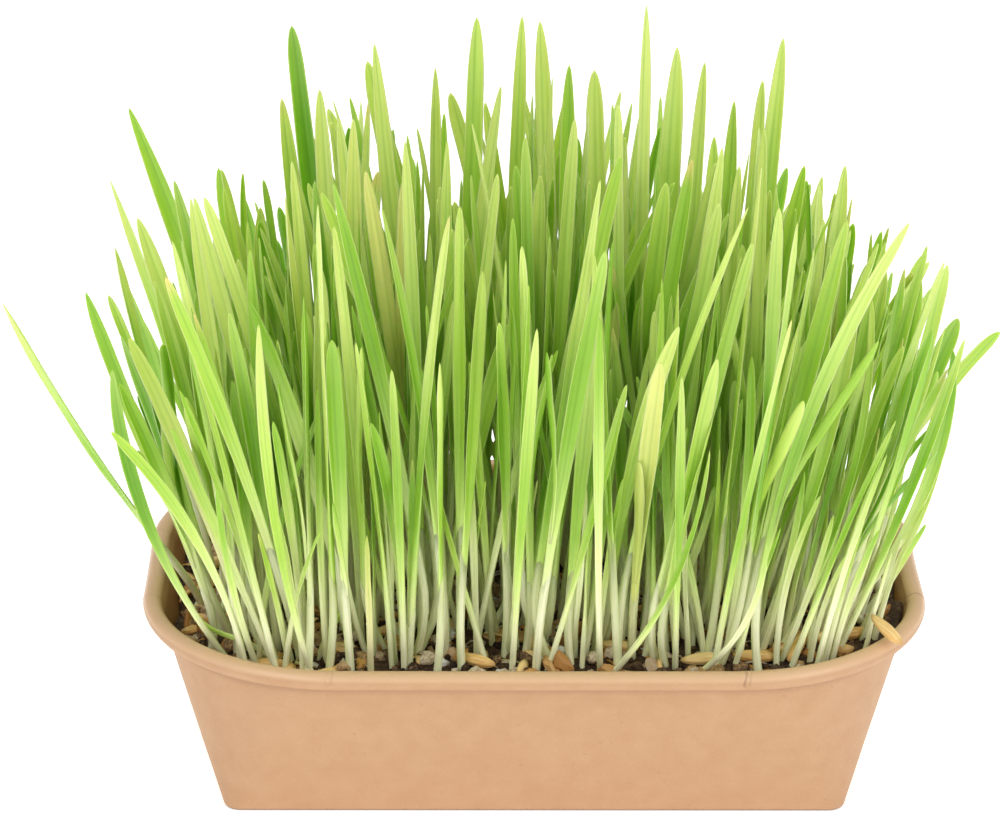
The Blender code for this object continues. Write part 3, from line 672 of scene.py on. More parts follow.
@dataclass
class PaperTray:
    """The rolled-rim paper wall. Its sizes are the frame's own.

    Attributes:
        rim_length, rim_width, height: Outer sizes at the rim.
        base_length, base_width: Outer sizes at the foot.
        rim_corner, base_corner: Outer corner radii.
        roll: Radius of the rolled rim.
        paper: Thickness of the sheet.
        hem_channel, hem_top: Gap and height of the hem that holds the bottom panel.
        fold: Radius of the folds at the foot.
        wobble: How far the sheet strays from its true form.
    """

    rim_length: float = 172.0 * MM
    rim_width: float = 119.6 * MM
    height: float = 41.4 * MM
    base_length: float = 135.4 * MM
    base_width: float = 82.6 * MM
    rim_corner: float = 44.5 * MM
    base_corner: float = 3.2 * MM
    roll: float = 2.07 * MM
    paper: float = 0.6 * MM
    hem_channel: float = 1.3 * MM
    hem_top: float = 4.0 * MM
    fold: float = 0.25 * MM
    roll_start: float = math.radians(180)
    roll_end: float = math.radians(-140)
    roll_sag: float = 1.24
    wobble: float = 0.16 * MM
    corner_points: int = 26
    long_points: int = 34
    short_points: int = 16
    crease_points: int = 22
    hem_rings: int = 4
    fold_rings: int = 5
    wall_rings: int = 14
    roll_rings: int = 34

    @property
    def wall_top(self) -> float:
        """Height at which the wall turns into the roll."""
        return self.height - self.roll

    def wall_size(self, z: Array | float) -> tuple[Array, Array, Array]:
        """Half length, half width and corner radius of the wall's inner face, which widens evenly upwards.

        Args:
            z: Height, or an array of heights.

        Returns:
            The three sizes, each of the heights' shape.
        """
        share = np.minimum(z, self.wall_top) / self.wall_top
        foot = np.array([self.base_length / 2, self.base_width / 2, self.base_corner]) - self.paper
        top = np.array([self.rim_length / 2, self.rim_width / 2, self.rim_corner]) - 2 * self.roll
        return tuple(foot[i] + share * (top[i] - foot[i]) for i in range(3))

    def outline(self, half_x: Array, half_y: Array, radius: Array, around: Array) -> Array:
        """Points round a rounded rectangle.

        The whole part of around counts the corners, anticlockwise from the front right. Its first half turns
        round the corner's arc, and its second half runs along the straight side that follows.

        Args:
            half_x: Half lengths, one a row of points.
            half_y: Half widths.
            radius: Corner radii.
            around: Place round the outline, from 0 to 4, the same for every row.

        Returns:
            X and Y with one row for each size and one column for each place.
        """
        corner = np.floor(around).astype(int) % 4
        share = around - np.floor(around)
        turned = np.minimum(share * 2, 1.0)
        run = np.clip(share * 2 - 1, 0.0, 1.0)
        side_x = np.array([1, -1, -1, 1])
        side_y = np.array([1, 1, -1, -1])
        angle = (corner + turned) * math.pi / 2
        x = np.outer(half_x - radius, side_x[corner]) + np.outer(radius, np.cos(angle))
        y = np.outer(half_y - radius, side_y[corner]) + np.outer(radius, np.sin(angle))
        following = (corner + 1) % 4
        x += np.outer(half_x - radius, (side_x[following] - side_x[corner]) * run)
        y += np.outer(half_y - radius, (side_y[following] - side_y[corner]) * run)
        return np.stack([x, y], axis=-1)

    def places_around(self) -> Array:
        """Places round the outline: even along arcs and sides, and close together at the creases."""
        places = []
        for corner in range(4):
            side = self.long_points if corner % 2 == 0 else self.short_points
            places.append(corner + np.linspace(0.0, 0.5, self.corner_points, endpoint=False))
            places.append(corner + 0.5 + np.linspace(0.0, 0.5, side, endpoint=False))
            places.append(corner + np.linspace(0.006, 0.034, self.crease_points))
            places.append(corner + np.linspace(0.466, 0.494, self.crease_points))
        return np.unique(np.concatenate(places))

    def profile(self) -> tuple[Array, Array]:
        """The sheet's visible side, from the hem's edge down, round the fold, up the wall and round the roll.

        Each point has a distance outwards from the wall's inner face and a height. The roll is an arc about
        a centre one radius outwards from the top of the wall, and its lower half sags by a quarter.

        Returns:
            Distances outwards and heights.
        """
        arc = np.linspace(0.0, math.pi / 2, self.fold_rings)
        bend = self.paper + self.fold
        reach, drop = self.fold * np.cos(arc), self.fold * np.sin(arc)
        angle = np.linspace(self.roll_start, self.roll_end, self.roll_rings)
        sag = np.where(np.sin(angle) < 0, self.roll_sag, 1.0)
        stretches = (
            (np.full(self.hem_rings, -self.hem_channel), np.linspace(self.hem_top, bend, self.hem_rings)),
            ((-self.hem_channel + self.fold - reach)[1:], (bend - drop)[1:]),
            (-self.fold + drop, bend - reach),
            (np.zeros(self.wall_rings), np.linspace(bend, self.wall_top, self.wall_rings + 2)[1:-1]),
            (self.roll * (1 + np.cos(angle)), self.wall_top + self.roll * np.sin(angle) * sag),
        )
        return tuple(np.concatenate(part) for part in zip(*stretches))

    def build_wall(self, paper: Material) -> Object:
        """Carries the sheet's closed profile round the tray and creases the roll at the corners' ends.

        The hidden side is the visible side moved by the paper's thickness across the profile's run. A crease
        draws the roll in by a narrow bell curve round a slanting line.
        """
        out, z = self.profile()
        run = unit(np.gradient(np.column_stack([out, z]), axis=0))
        back_out = out + run[:, 1] * self.paper
        back_z = z - run[:, 0] * self.paper
        seen = len(out)
        hidden = np.zeros(seen)
        below_roll = np.arange(seen) < seen - self.roll_rings
        rolled = np.concatenate([smooth((z - self.wall_top) / MM), hidden])
        damp = np.concatenate([below_roll * smooth((self.wall_top - z) / (1.2 * MM)), hidden])
        out = np.concatenate([out, back_out[::-1]])
        z = np.concatenate([z, np.maximum(back_z[::-1], 0.0)])
        around = self.places_around()
        half_x, half_y, radius = self.wall_size(np.clip(z, self.paper, self.wall_top))
        flat = self.outline(half_x + out, half_y + out, radius + out, around)
        rows, columns = len(out), len(around)
        points = np.concatenate([flat, np.broadcast_to(z[:, None, None], (rows, columns, 1))], axis=-1)
        points = points.reshape(-1, 3)
        heights = points[:, 2]
        free = smooth((heights - 2 * MM) / (12 * MM))
        middle = np.column_stack([points[:, 0] / self.rim_length, points[:, 1] / self.rim_width])
        away = middle / np.maximum(np.linalg.norm(middle, axis=1, keepdims=True), 1e-9)
        slow = np.column_stack([points[:, :2], heights * 0.6])
        stray = lattice_noise(slow, 21 * MM, 3) * self.wobble * free
        stray += lattice_noise(slow, 7 * MM, 4) * self.wobble * 0.3 * free
        crease = self.crease_depth(points, around, rows)
        on_roll = smooth((heights - self.wall_top + 1.6 * MM) / (1.5 * MM))
        points[:, :2] += away * (stray - 0.35 * MM * crease * on_roll)[:, None]
        patch = Patchwork()
        patch.add(
            points,
            band(rows + 1, columns) % len(points),
            # The rolled value makes the roll smoother and, as painted light, lighter.
            rolled=np.repeat(rolled, columns) * 0.8,
            damp=np.repeat(damp, columns),
            # Painted shade: the roll darkened in its creases, plus the painted shade from shade().
            crease=np.clip(0.45 * crease * on_roll + np.repeat(self.shade(out, z, seen), columns), 0.0, 1.0),
        )
        wall = patch.build("rolled_paper_wall", paper, Slot.PAPER)
        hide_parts("tray_wall")
        return wall

    def shade(self, out: Array, z: Array, seen: int) -> Array:
        """How much painted shade the profile gets: under the roll, on the wall just below it, and along the
        foot's edge.

        Args:
            out: The closed profile's distances outwards.
            z: Its heights.
            seen: How many of its points belong to the visible side, which come first.

        Returns:
            One value from 0 to 1 for each point.
        """
        # Painted shade: under the roll and on the outer wall just below it, on the underside of the roll's
        # outer half, and a painted shadow line along the foot's edge.
        depth = self.wall_top - self.roll * self.roll_sag - z
        under = 0.3 * np.exp(-(((depth + 0.3 * MM) / (0.9 * MM)) ** 2))
        below_roll = 0.5 * smooth((depth + 1.1 * MM) / (1.1 * MM)) * smooth((out - self.roll) / self.roll)
        foot = smooth((0.62 * MM - z) / (0.5 * MM))
        is_back = np.arange(len(z)) >= seen
        return np.where(is_back, np.maximum(under, foot), below_roll)

    def crease_depth(self, points: Array, around: Array, rows: int) -> Array:
        """How deep each point lies in one of the roll's creases, from 0 to 1.

        A crease runs down the roll where a corner's arc begins or ends. It slants with height, and strays.
        """
        share = around - np.floor(around)
        corner = np.floor(around).astype(int) % 4
        total = np.zeros((rows, len(around)))
        lean = (points[:, 2].reshape(rows, -1) - self.wall_top) / self.roll
        stray = 0.0025 * lattice_noise(points, 1.4 * MM, 8).reshape(rows, -1)
        for centre, width, strength in ((0.018, 0.0018, 1.0), (0.482, 0.0018, 0.9), (0.475, 0.0013, 0.5)):
            shift = np.where(corner % 2 == 0, centre, 0.5 - centre)
            offset = share - shift - 0.004 * lean + stray
            total += strength * np.exp(-((offset / width) ** 2)) * (0.55 + 0.45 * np.cos(corner * 2.1))
        return np.clip(total, 0.0, 1.0).reshape(-1)

    def dress_base(self, paper: Material) -> None:
        """Gives the bottom panel, which keeps its own mesh, the same paper."""
        panel = frame["nodes"]["tray_base"]
        panel.data.materials.clear()
        panel.data.materials.append(paper)


# The soil and what lies in it


@dataclass
class SoilBed:
    """The soil's body with crumbs on its surface.

    Attributes:
        tray: The tray that holds it.
        level: Height of the soil at the right.
        drop: How much lower it is at the left end.
        wall_gap: Gap to the tray's wall.
    """

    tray: PaperTray
    level: float = 36.5 * MM
    drop: float = 4.5 * MM
    drop_start: float = 40.0 * MM
    drop_length: float = 34.0 * MM
    wall_gap: float = 0.35 * MM
    floor: float = 5.3 * MM
    rings: int = 82
    columns: int = 240
    seed: int = 41

    def level_at(self, x: Array | float) -> Array:
        """Height of the level soil: even, but eased down towards the left end."""
        return self.level - self.drop * smooth((-np.asarray(x) - self.drop_start) / self.drop_length)

    def surface(self, x: Array, y: Array) -> Array:
        """Height of the crumbled surface: the level with three scales of noise, the finest one sharp-edged.

        Args:
            x: Places along the tray.
            y: Places across it.

        Returns:
            One height for each place.
        """
        flat = np.column_stack([x, y, np.zeros(len(x))])
        broad = lattice_noise(flat, 8.0 * MM, 11) * 0.7 * MM
        clods = lattice_noise(flat, 2.6 * MM, 12) * 0.75 * MM
        crumbs = np.abs(lattice_noise(flat, 1.25 * MM, 13)) * 0.8 * MM
        return self.level_at(x) + 0.35 * MM + broad + clods + crumbs

    def height_at(self, x: float, y: float) -> float:
        """Height of the crumbled surface at one place."""
        return float(self.surface(np.array([x]), np.array([y]))[0])

    def edge_at(self, z: float, around: Array) -> Array:
        """The wall's inner outline at one height, less the gap."""
        sizes = self.tray.wall_size(z)
        return self.tray.outline(*(np.atleast_1d(size - self.wall_gap) for size in sizes), around)[0]

    def build_body(self, soil: Material) -> Object:
        """A closed body: on top, rings shrink from the wall to the middle, and a side goes down."""
        around = np.linspace(0.0, 4.0, self.columns, endpoint=False)
        share = np.linspace(1.0, 0.0, self.rings, endpoint=False) ** 0.9
        sizes = self.tray.wall_size(self.surface(*self.edge_at(self.level, around).T))
        exact = self.tray.outline(*(size - self.wall_gap for size in sizes), around)
        rim = exact[np.arange(self.columns), np.arange(self.columns)]
        flat = (share[:, None, None] * rim).reshape(-1, 2)
        top = np.column_stack([flat, self.surface(*flat.T)])
        low = np.column_stack([self.edge_at(self.floor, around), np.full(self.columns, self.floor)])
        middle = np.array([[0.0, 0.0, self.height_at(0.0, 0.0)], [0.0, 0.0, self.floor]])
        vertices = np.concatenate([low, top, middle])
        count = len(vertices)
        last_ring = self.rings * self.columns
        caps = (fan(last_ring, self.columns, count - 2, True), fan(0, self.columns, count - 1, False))
        patch = Patchwork()
        patch.add(vertices, band(self.rings + 1, self.columns), np.concatenate(caps), tone=0.0)
        made = patch.build("crumbled_soil_body", soil, Slot.SOIL)
        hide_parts("substrate")
        return made


@dataclass
class SmallShape:
    """A lumpy ball of few faces that stones and crumbs are made from.

    Attributes:
        vertices: Places on the unit ball.
        triangles: Its faces.
    """

    vertices: Array
    triangles: Array

    @classmethod
    def ball(cls, level: int) -> "SmallShape":
        """A ball of twenty flats, each cut in four once for each level, with its corners at distance 1."""
        made = bmesh.new()
        bmesh.ops.create_icosphere(made, subdivisions=level + 1, radius=1.0)
        points = np.array([v.co[:] for v in made.verts])
        faces = np.array([[v.index for v in f.verts] for f in made.faces])
        made.free()
        return cls(points, faces)

    def lumps(
        self,
        random: np.random.Generator,
        places: Array,
        sizes: Array,
        flatness: tuple[float, float],
        roughness: float,
    ) -> Array:
        """Copies of the ball, each squeezed, turned at random and knocked out of round.

        Args:
            random: Source of the draws.
            places: Middle of each copy.
            sizes: Longest size of each copy.
            flatness: Range of the two shorter sizes over the longest.
            roughness: How far a corner strays, as a share of the radius.

        Returns:
            Places with one row of corners for each copy.
        """
        count = len(places)
        turns = random.normal(size=(count, 4))
        spin = np.array([np.array(Quaternion(turn).normalized().to_matrix()) for turn in turns])
        squeeze = np.column_stack([np.ones(count), random.uniform(*flatness, (count, 2))])
        shape = self.vertices[None] * squeeze[:, None] * (sizes / 2)[:, None, None]
        shape *= 1 + roughness * random.uniform(-1, 1, (count, len(self.vertices), 1))
        return np.einsum("cij,cvj->cvi", spin, shape) + places[:, None]


@dataclass
class Grain:
    """A husked grain: a spindle with ridges along it and a crease down its belly.

    Attributes:
        length, width, thickness: Its sizes.
        rows, columns: Rings along it and points round each.
    """

    length: float = 9.2 * MM
    width: float = 3.1 * MM
    thickness: float = 2.6 * MM
    rows: int = 13
    columns: int = 16

    def add_to(self, patch: Patchwork, axes: Array, middle: Array, tone: float) -> None:
        """Adds the grain to a mesh.

        The radius at share s of the length is (4s(1 - s))^0.55, fuller behind the middle. Round the grain it
        carries seven ridges of 6%, and the belly has a crease 22% deep.

        Args:
            patch: The mesh.
            axes: The ways of its length, width and thickness, as rows.
            middle: Where it lies.
            tone: How pale it is.
        """
        s = (1 - np.cos(np.linspace(0.0, math.pi, self.rows + 2)[1:-1])) / 2
        angle = angles(self.columns)
        body = (4 * s * (1 - s)) ** 0.55 * (1.0 + 0.2 * (0.5 - s))
        ridge = 1 + 0.06 * np.cos(7 * angle) - 0.22 * np.exp(-(((angle - 1.5 * math.pi) / 0.3) ** 2))
        reach = body[:, None] * ridge[None]
        x = np.broadcast_to((s - 0.5)[:, None] * self.length, reach.shape)
        y = reach * np.cos(angle) * self.width / 2
        z = reach * np.sin(angle) * self.thickness / 2
        half = axes[0] * self.length / 2
        across = np.abs(angle / math.pi - 1.0)
        rings = np.stack([x, y, z], axis=-1) @ axes + middle
        patch.add_tube(rings, middle - half, middle + half, across, s, tone=tone)


def vertices_of(name: str) -> Array:
    """The places of a CAD node's vertices, one row each."""
    vertices = frame["nodes"][name].data.vertices
    points = np.empty(len(vertices) * 3)
    vertices.foreach_get("co", points)
    return points.reshape(-1, 3)


def node_axes(name: str) -> tuple[Array, Array, Array]:
    """Where a loose CAD piece lies.

    Its middle is the mean of its lowest and highest places along its own axes, which are the main directions
    of its vertices.

    Args:
        name: The CAD node.

    Returns:
        Its middle, its three axes as rows, longest first, and its size along each.
    """
    points = vertices_of(name)
    mean = points.mean(axis=0)
    _, _, axes = np.linalg.svd(points - mean, full_matrices=False)
    if np.linalg.det(axes) < 0:
        axes[2] *= -1
    local = (points - mean) @ axes.T
    low, high = local.min(axis=0), local.max(axis=0)
    return mean + (low + high) / 2 @ axes, axes, high - low


@dataclass(frozen=True)
class Lumps:
    """One kind of lump that lies in the soil.

    Attributes:
        name: The piece's name.
        slot: The record's slot, which gives its finish.
        count: How many there are.
        sizes: Smallest, usual and largest size in millimetres.
        clear: Gap to the stems.
        level: How finely the ball is cut.
        roughness: How far its corners stray.
        flatness: Range of its two shorter sizes over the longest.
    """

    name: str
    slot: Slot
    count: int
    sizes: tuple[float, float, float]
    clear: float
    level: int
    roughness: float
    flatness: tuple[float, float] = (0.6, 0.95)


LUMPS = (
    Lumps("gravel_in_soil", Slot.GRAVEL, 1020, (1.5, 2.8, 5.0), 0.5 * MM, 1, 0.26),
    Lumps("bark_chips", Slot.HUSK, 90, (3.0, 5.0, 8.5), 0.9 * MM, 1, 0.3, (0.3, 0.6)),
    Lumps("perlite_in_soil", Slot.PERLITE, 110, (1.4, 2.4, 4.0), 0.8 * MM, 1, 0.22),
    Lumps("soil_crumbs", Slot.SOIL, 2300, (0.7, 1.3, 3.0), 0.0, 0, 0.3),
)


@dataclass
class LooseLitter:
    """Grains, gravel, perlite, crumbs, husk flakes and roots in and on the soil.

    Attributes:
        bed: The soil that they lie in.
        stems: Places that they keep clear of.
        finishes: A material for each slot.
        seed: Seed of the draws.
    """

    bed: SoilBed
    stems: Array
    finishes: dict[Slot, Material]
    seed: int = 7
    edge_gap: float = 0.8 * MM
    grain_count: int = 170
    shell_count: int = 130
    flake_count: int = 110
    root_count: int = 70

    def __post_init__(self) -> None:
        """Starts the draws and notes what is in the way: the stems and the frame's own loose pieces."""
        self.random = np.random.default_rng(self.seed)
        taken = [np.column_stack([self.stems, np.full(len(self.stems), 1.1 * MM)])]
        for name in LOOSE_NODES:
            middle, axes, size = node_axes(name)
            reach = np.linspace(-0.35, 0.35, 4)[:, None] * size[0] * axes[0]
            taken.append(np.column_stack([(middle + reach)[:, :2], np.full(4, size[1] * 0.5)]))
        self.taken = np.concatenate(taken)

    def scatter(self, count: int, margin: float, clear: float) -> Array:
        """Draws places on the soil inside the tray.

        Args:
            count: How many places.
            margin: Gap to keep to the wall.
            clear: Radius that stays free of stems, or 0 where it doesn't matter.

        Returns:
            X and Y, one row for each place.
        """
        half_x, half_y, radius = self.bed.tray.wall_size(self.bed.level)
        kept = []
        while len(kept) < count:
            place = self.random.uniform(-1, 1, 2) * (half_x - margin, half_y - margin)
            corner = np.abs(place) - (half_x - radius, half_y - radius)
            if np.all(corner > 0) and np.hypot(*corner) > radius - margin:
                continue
            gaps = np.hypot(*(self.taken[:, :2] - place).T) - self.taken[:, 2]
            if clear == 0.0 or gaps.min() >= clear:
                kept.append(place)
        return np.array(kept)

    def scatter_lumps(self, lumps: Lumps) -> None:
        """Lays one kind of lump on the soil in one piece."""
        ball = SmallShape.ball(lumps.level)
        sizes = np.array(lumps.sizes) * MM
        size = self.random.triangular(*sizes, lumps.count)
        place = self.scatter(lumps.count, sizes[2] / 2 + self.edge_gap, lumps.clear)
        height = self.bed.surface(place[:, 0], place[:, 1])
        height += size * self.random.uniform(-0.15, 0.3, lumps.count)
        middles = np.column_stack([place, height])
        copies = ball.lumps(self.random, middles, size, lumps.flatness, lumps.roughness)
        tone = self.random.uniform(-1, 1, lumps.count)
        corners = len(ball.vertices)
        faces = (ball.triangles[None] + np.arange(lumps.count)[:, None, None] * corners).reshape(-1, 3)
        patch = Patchwork()
        patch.add(copies.reshape(-1, 3), triangles=faces, tone=np.repeat(tone, corners))
        patch.build(lumps.name, self.finishes[lumps.slot], lumps.slot, shade_smooth=lumps.level > 1)

    @staticmethod
    def turned(heading: float, dip: float, spin: float) -> Array:
        """The axes, as rows, of a thing spun about its length, dipped, and then headed about Z."""
        turn = Matrix.Rotation(heading, 3, "Z") @ Matrix.Rotation(dip, 3, "Y") @ Matrix.Rotation(spin, 3, "X")
        return np.array(turn).T

    def middle_at(self, x: float, y: float, low: float, high: float) -> Array:
        """A place at x and y, drawn between low and high millimetres above the soil."""
        return np.array([x, y, self.bed.height_at(x, y) + self.random.uniform(low, high) * MM])

    def scatter_grains(self) -> None:
        """Lays husked grains at random headings, half sunk, in one piece."""
        draw = self.random.uniform
        patch = Patchwork()
        for x, y in self.scatter(self.grain_count, 3.2 * MM, 0.9 * MM):
            scale = draw(0.85, 1.05)
            grain = Grain(9.0 * MM * scale, 3.5 * MM * scale, 3.0 * MM * scale, 9, 12)
            heading = draw(0.0, FULL_TURN)
            axes = self.turned(heading, self.random.normal(0.0, 0.25), draw(0.0, FULL_TURN))
            grain.add_to(patch, axes, self.middle_at(x, y, -0.4, 0.7), draw(-1, 1))
        patch.build("husked_grains_in_soil", self.finishes[Slot.HUSK], Slot.HUSK)

    def scatter_shells(self) -> None:
        """Lays empty half husks: the upper half of a grain's form, with a wall of 12% of its radius."""
        draw = self.random.uniform
        patch = Patchwork()
        rows, columns = 9, 8
        s = (1 - np.cos(np.linspace(0.0, math.pi, rows + 2)[1:-1])) / 2
        body = (4 * s * (1 - s)) ** 0.6
        angle = np.linspace(-0.1 * math.pi, 1.1 * math.pi, columns)
        ridge = 1 + 0.05 * np.cos(7 * angle)
        ring = np.column_stack([np.cos(angle) * ridge, np.sin(angle) * ridge])
        ring = np.concatenate([ring, ring[::-1] * 0.88])
        share = np.concatenate([np.linspace(0, 1, columns), np.linspace(1, 0, columns)])
        for x, y in self.scatter(self.shell_count, 3.2 * MM, 0.5 * MM):
            length = draw(5.5, 10.0) * MM
            width = length * draw(0.28, 0.42)
            heading = draw(0.0, FULL_TURN)
            axes = self.turned(heading, self.random.normal(0.0, 0.35), self.random.normal(0.0, 0.9))
            skin = body[:, None, None] * ring[None] * np.array([width / 2, width * 0.32])
            along = np.broadcast_to((s[:, None, None] - 0.5) * length, skin.shape[:2] + (1,))
            middle = self.middle_at(x, y, -0.2, 0.7)
            rings = np.concatenate([along, skin], axis=-1) @ axes + middle
            half = axes[0] * length / 2
            patch.add_tube(rings, middle - half, middle + half, share, s, tone=draw(-1.4, 0.9))
        patch.build("empty_half_husks", self.finishes[Slot.HUSK], Slot.HUSK)

    def scatter_flakes(self) -> None:
        """Lays torn husk flakes and straw slivers: thin bent strips, closed at both ends.

        A strip is a bar of four corners a ring along a bent line: half width w(1 - (2t - 1)^2)^0.5, 0.15 mm
        thick.
        """
        draw = self.random.uniform
        patch = Patchwork()
        t = np.linspace(0.0, 1.0, 7)
        up = np.array([0.0, 0.0, 0.08 * MM])
        caps = np.array([[3, 2, 1, 0], np.arange(4) + (len(t) - 1) * 4])
        quads = np.concatenate([band(len(t), 4), caps])
        uv = np.column_stack([np.tile([0.1, 0.3, 0.5, 0.3], len(t)), np.repeat(0.2 + 0.6 * t, 4)])
        for x, y in self.scatter(self.flake_count, 3.0 * MM, 0.2 * MM):
            length = draw(3.0, 9.0) * MM
            width = draw(0.3, 1.2) * MM
            heading = draw(0.0, FULL_TURN)
            lift = draw(0.2, 1.4) * MM
            along = np.array([math.cos(heading), math.sin(heading), draw(-0.15, 0.3)])
            side = np.array([-along[1], along[0], 0.0])
            line = np.array([x, y, self.bed.height_at(x, y) + 0.3 * MM]) + (t - 0.5)[:, None] * length * along
            line[:, 2] += lift * 4 * t * (1 - t)
            half = (width * np.sqrt(np.clip(1 - (2 * t - 1) ** 2, 0.04, 1)))[:, None]
            rings = np.stack([line + side * half, line + up, line - side * half, line - up], axis=1)
            patch.add(rings.reshape(-1, 3), quads, uv=uv, tone=draw(-1.6, 0.4))
        patch.build("husk_flakes", self.finishes[Slot.HUSK], Slot.HUSK)

    def scatter_roots(self, skin: Material) -> None:
        """Lays thin roots in short arches over the soil: five-sided tubes of radius 0.2 mm."""
        draw = self.random.uniform
        patch = Patchwork()
        t = np.linspace(0.0, 1.0, 12)
        arch = np.sin(math.pi * t)
        radius = 0.2 * MM * (1.1 - 0.5 * t)
        cos, sin = np.cos(angles(5))[None, :, None], np.sin(angles(5))[None, :, None]
        for x, y in self.scatter(self.root_count, 4.0 * MM, 0.0):
            length = draw(5.0, 14.0) * MM
            heading = draw(0.0, FULL_TURN)
            turn = heading + draw(-0.8, 0.8) * (t - 0.5)
            flat = np.column_stack([np.cos(turn), np.sin(turn)]) * length / (len(t) - 1)
            path = np.cumsum(flat, axis=0) - flat.sum(axis=0) / 2 + np.array([x, y])
            height = self.bed.surface(*path.T)
            rise = draw(0.4, 1.8) * MM * arch - 0.6 * MM * (1 - arch)
            line = np.column_stack([path, height * 0.4 + height.mean() * 0.6 + rise])
            tangent = unit(np.gradient(line, axis=0))
            side = unit(np.cross(tangent, [0.0, 0.0, 1.0]))
            up = np.cross(side, tangent)
            reach = side[:, None] * cos + up[:, None] * sin
            patch.add_tube(line[:, None] + reach * radius[:, None, None], line[0], line[-1], tone=0.0)
        patch.build("root_threads", skin, Slot.GRASS)

    def replace_loose(self) -> None:
        """Puts a ridged grain or a finely knocked stone in place of each of the frame's plain ones."""
        slots = {part["node"]: Slot(part["material_slot"]) for part in frame["record"]["subparts"]}
        ball = SmallShape.ball(3)
        for name in LOOSE_NODES:
            middle, axes, size = node_axes(name)
            patch = Patchwork()
            if name.startswith("grain_"):
                grain = Grain(size[0], size[1] * 1.02, size[2] * 1.02, 17, 28)
                grain.add_to(patch, axes, middle, self.random.uniform(0.0, 1.0))
            else:
                knock = lattice_noise(ball.vertices * 1.3 + len(name), 1.0, int(name[-2:])) * 0.16
                knock += lattice_noise(ball.vertices, 0.35, int(name[-2:])) * 0.06
                shape = ball.vertices * (1 + knock)[:, None] * size / 2
                tone = self.random.uniform(-0.6, 0.8)
                patch.add(shape @ axes + middle, triangles=ball.triangles, tone=tone)
            made = patch.build(f"loose_{name}", self.finishes[slots[name]], slots[name])
            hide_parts(name)

    def build(self, root: Material) -> None:
        """Lays everything, the frame's own pieces first."""
        self.replace_loose()
        self.scatter_grains()
        self.scatter_shells()
        self.scatter_flakes()
        self.scatter_roots(root)
        for lumps in LUMPS:
            self.scatter_lumps(lumps)


# The grass


@dataclass(frozen=True)
class KeyShoot:
    """A shoot of the outline: where it stands, where its tip is, and its width, in millimetres.

    bow is how far it starts upright and ends leaning. A negative bow leans at the foot and rises.
    """

    root: tuple[float, float]
    tip: tuple[float, float, float]
    width: float
    bow: float


# The tallest and the outermost shoots, from the left end to the right: root, tip, width and bow
KEY_ROWS = (
    (-72, -2, -110.2, -58, 125, 4.4, -0.15),
    (-68, 12, -94, 24, 123, 3.4, 0.35),
    (-63, 31, -90, 32, 137, 4.8, 0.5),
    (-74, -6, -92, -14, 110, 2.6, 0.2),
    (-70, -14, -89, -22, 104, 3.8, 0.3),
    (-62, -10, -85, -18, 129, 4.4, 0.3),
    (-60, 10, -79, 12, 127, 4.6, 0.25),
    (-58, 24, -70, 26, 125, 4.6, 0.2),
    (-46, 26, -56, 30, 140, 4.4, 0.2),
    (-44, 36, -54, 42, 153, 4.6, 0.35),
    (-40, 8, -47, 12, 148, 4.6, 0.1),
    (-30, 20, -45, 26, 136, 4.2, 0.2),
    (-38, -16, -39, -20, 152, 4.0, 0.1),
    (-20, 26, -37, 32, 148, 4.8, 0.5),
    (-24, 2, -35, 4, 161, 4.0, 0.1),
    (-22, 24, -22, 34, 146, 3.4, 0.1),
    (-14, 4, -13, 10, 165, 5.2, 0.05),
    (-8, 22, -3, 24, 161, 3.6, -0.1),
    (14, 40, -3, 46, 138, 3.2, 0.3),
    (6, 22, 1, 30, 158, 4.6, 0.2),
    (8, 2, 7, 8, 155, 4.6, 0.1),
    (14, 20, 13, 26, 148, 5.0, 0.1),
    (22, -4, 23, 0, 171, 4.2, 0.0),
    (26, 16, 31, 24, 154, 6.0, 0.15),
    (34, 2, 36, 4, 157, 4.0, 0.1),
    (40, 20, 44, 26, 141, 4.2, 0.1),
    (44, 6, 49, 10, 151, 4.4, 0.1),
    (46, 22, 55, 34, 153, 4.4, 0.2),
    (47, -20, 47, -26, 152, 4.2, 0.1),
    (62, 8, 62, 10, 127, 3.2, 0.0),
    (62, 14, 69, 26, 126, 4.6, 0.35),
    (66, -8, 76, -4, 112, 3.2, 0.2),
    (70, -12, 81, 6, 109, 3.4, 0.2),
    (72, 6, 86, 16, 86, 3.8, 0.1),
    (66, -26, 83, -34, 110, 4.0, 0.2),
    (73, 8, 95, 20, 92, 5.4, 0.1),
    (71, 11, 107.6, 44, 79.5, 3.6, 0.5),
    (20, -42, 24, -73.2, 118, 4.4, 0.4),
    (-24, 42, -28, 73.2, 112, 4.4, 0.4),
)
KEY_SHOOTS = [KeyShoot(row[:2], row[2:5], *row[5:]) for row in KEY_ROWS]

# Two sprouts that lie low inside the rim at the front left, each the four points of its curve
LOW_SPROUTS = (
    ((-57, -36, 30.5), (-58, -40, 43), (-70, -41, 39.5), (-74, -27, 41)),
    ((-46.5, -41, 33), (-47, -46, 45), (-42, -43, 44), (-40.5, -36.5, 50.5)),
)


@dataclass
class Shoot:
    """One shoot or side leaf.

    Attributes:
        tuft: Number of its tuft, from 0.
        points: The four points of its centre line, a Bezier curve.
        half_width: Half the blade's greatest width.
        facing: The way the blade's inner face looks, as an angle about Z.
        twist: How far it turns from foot to tip.
        places: Where along the curve the frame's plain blade has its rings.
        kind: How it has grown.
        foot_shift: How far its foot has slid from the line, along X and Y.
        grown: Length of the shoot that it leaves, up to where it leaves it.
        parent: Number of that shoot, or -1.
    """

    tuft: int
    points: Array
    half_width: float
    facing: float
    twist: float
    places: tuple[float, ...]
    kind: BladeKind = BladeKind.MAIN
    foot_shift: tuple[float, float] = (0.0, 0.0)
    grown: float = 0.0
    parent: int = -1

    @property
    def foot(self) -> Array:
        """X and Y of its root."""
        return self.points[0][:2]

    @property
    def reach(self) -> float:
        """Straight distance from its root to its tip."""
        return float(np.linalg.norm(self.points[3] - self.points[0]))


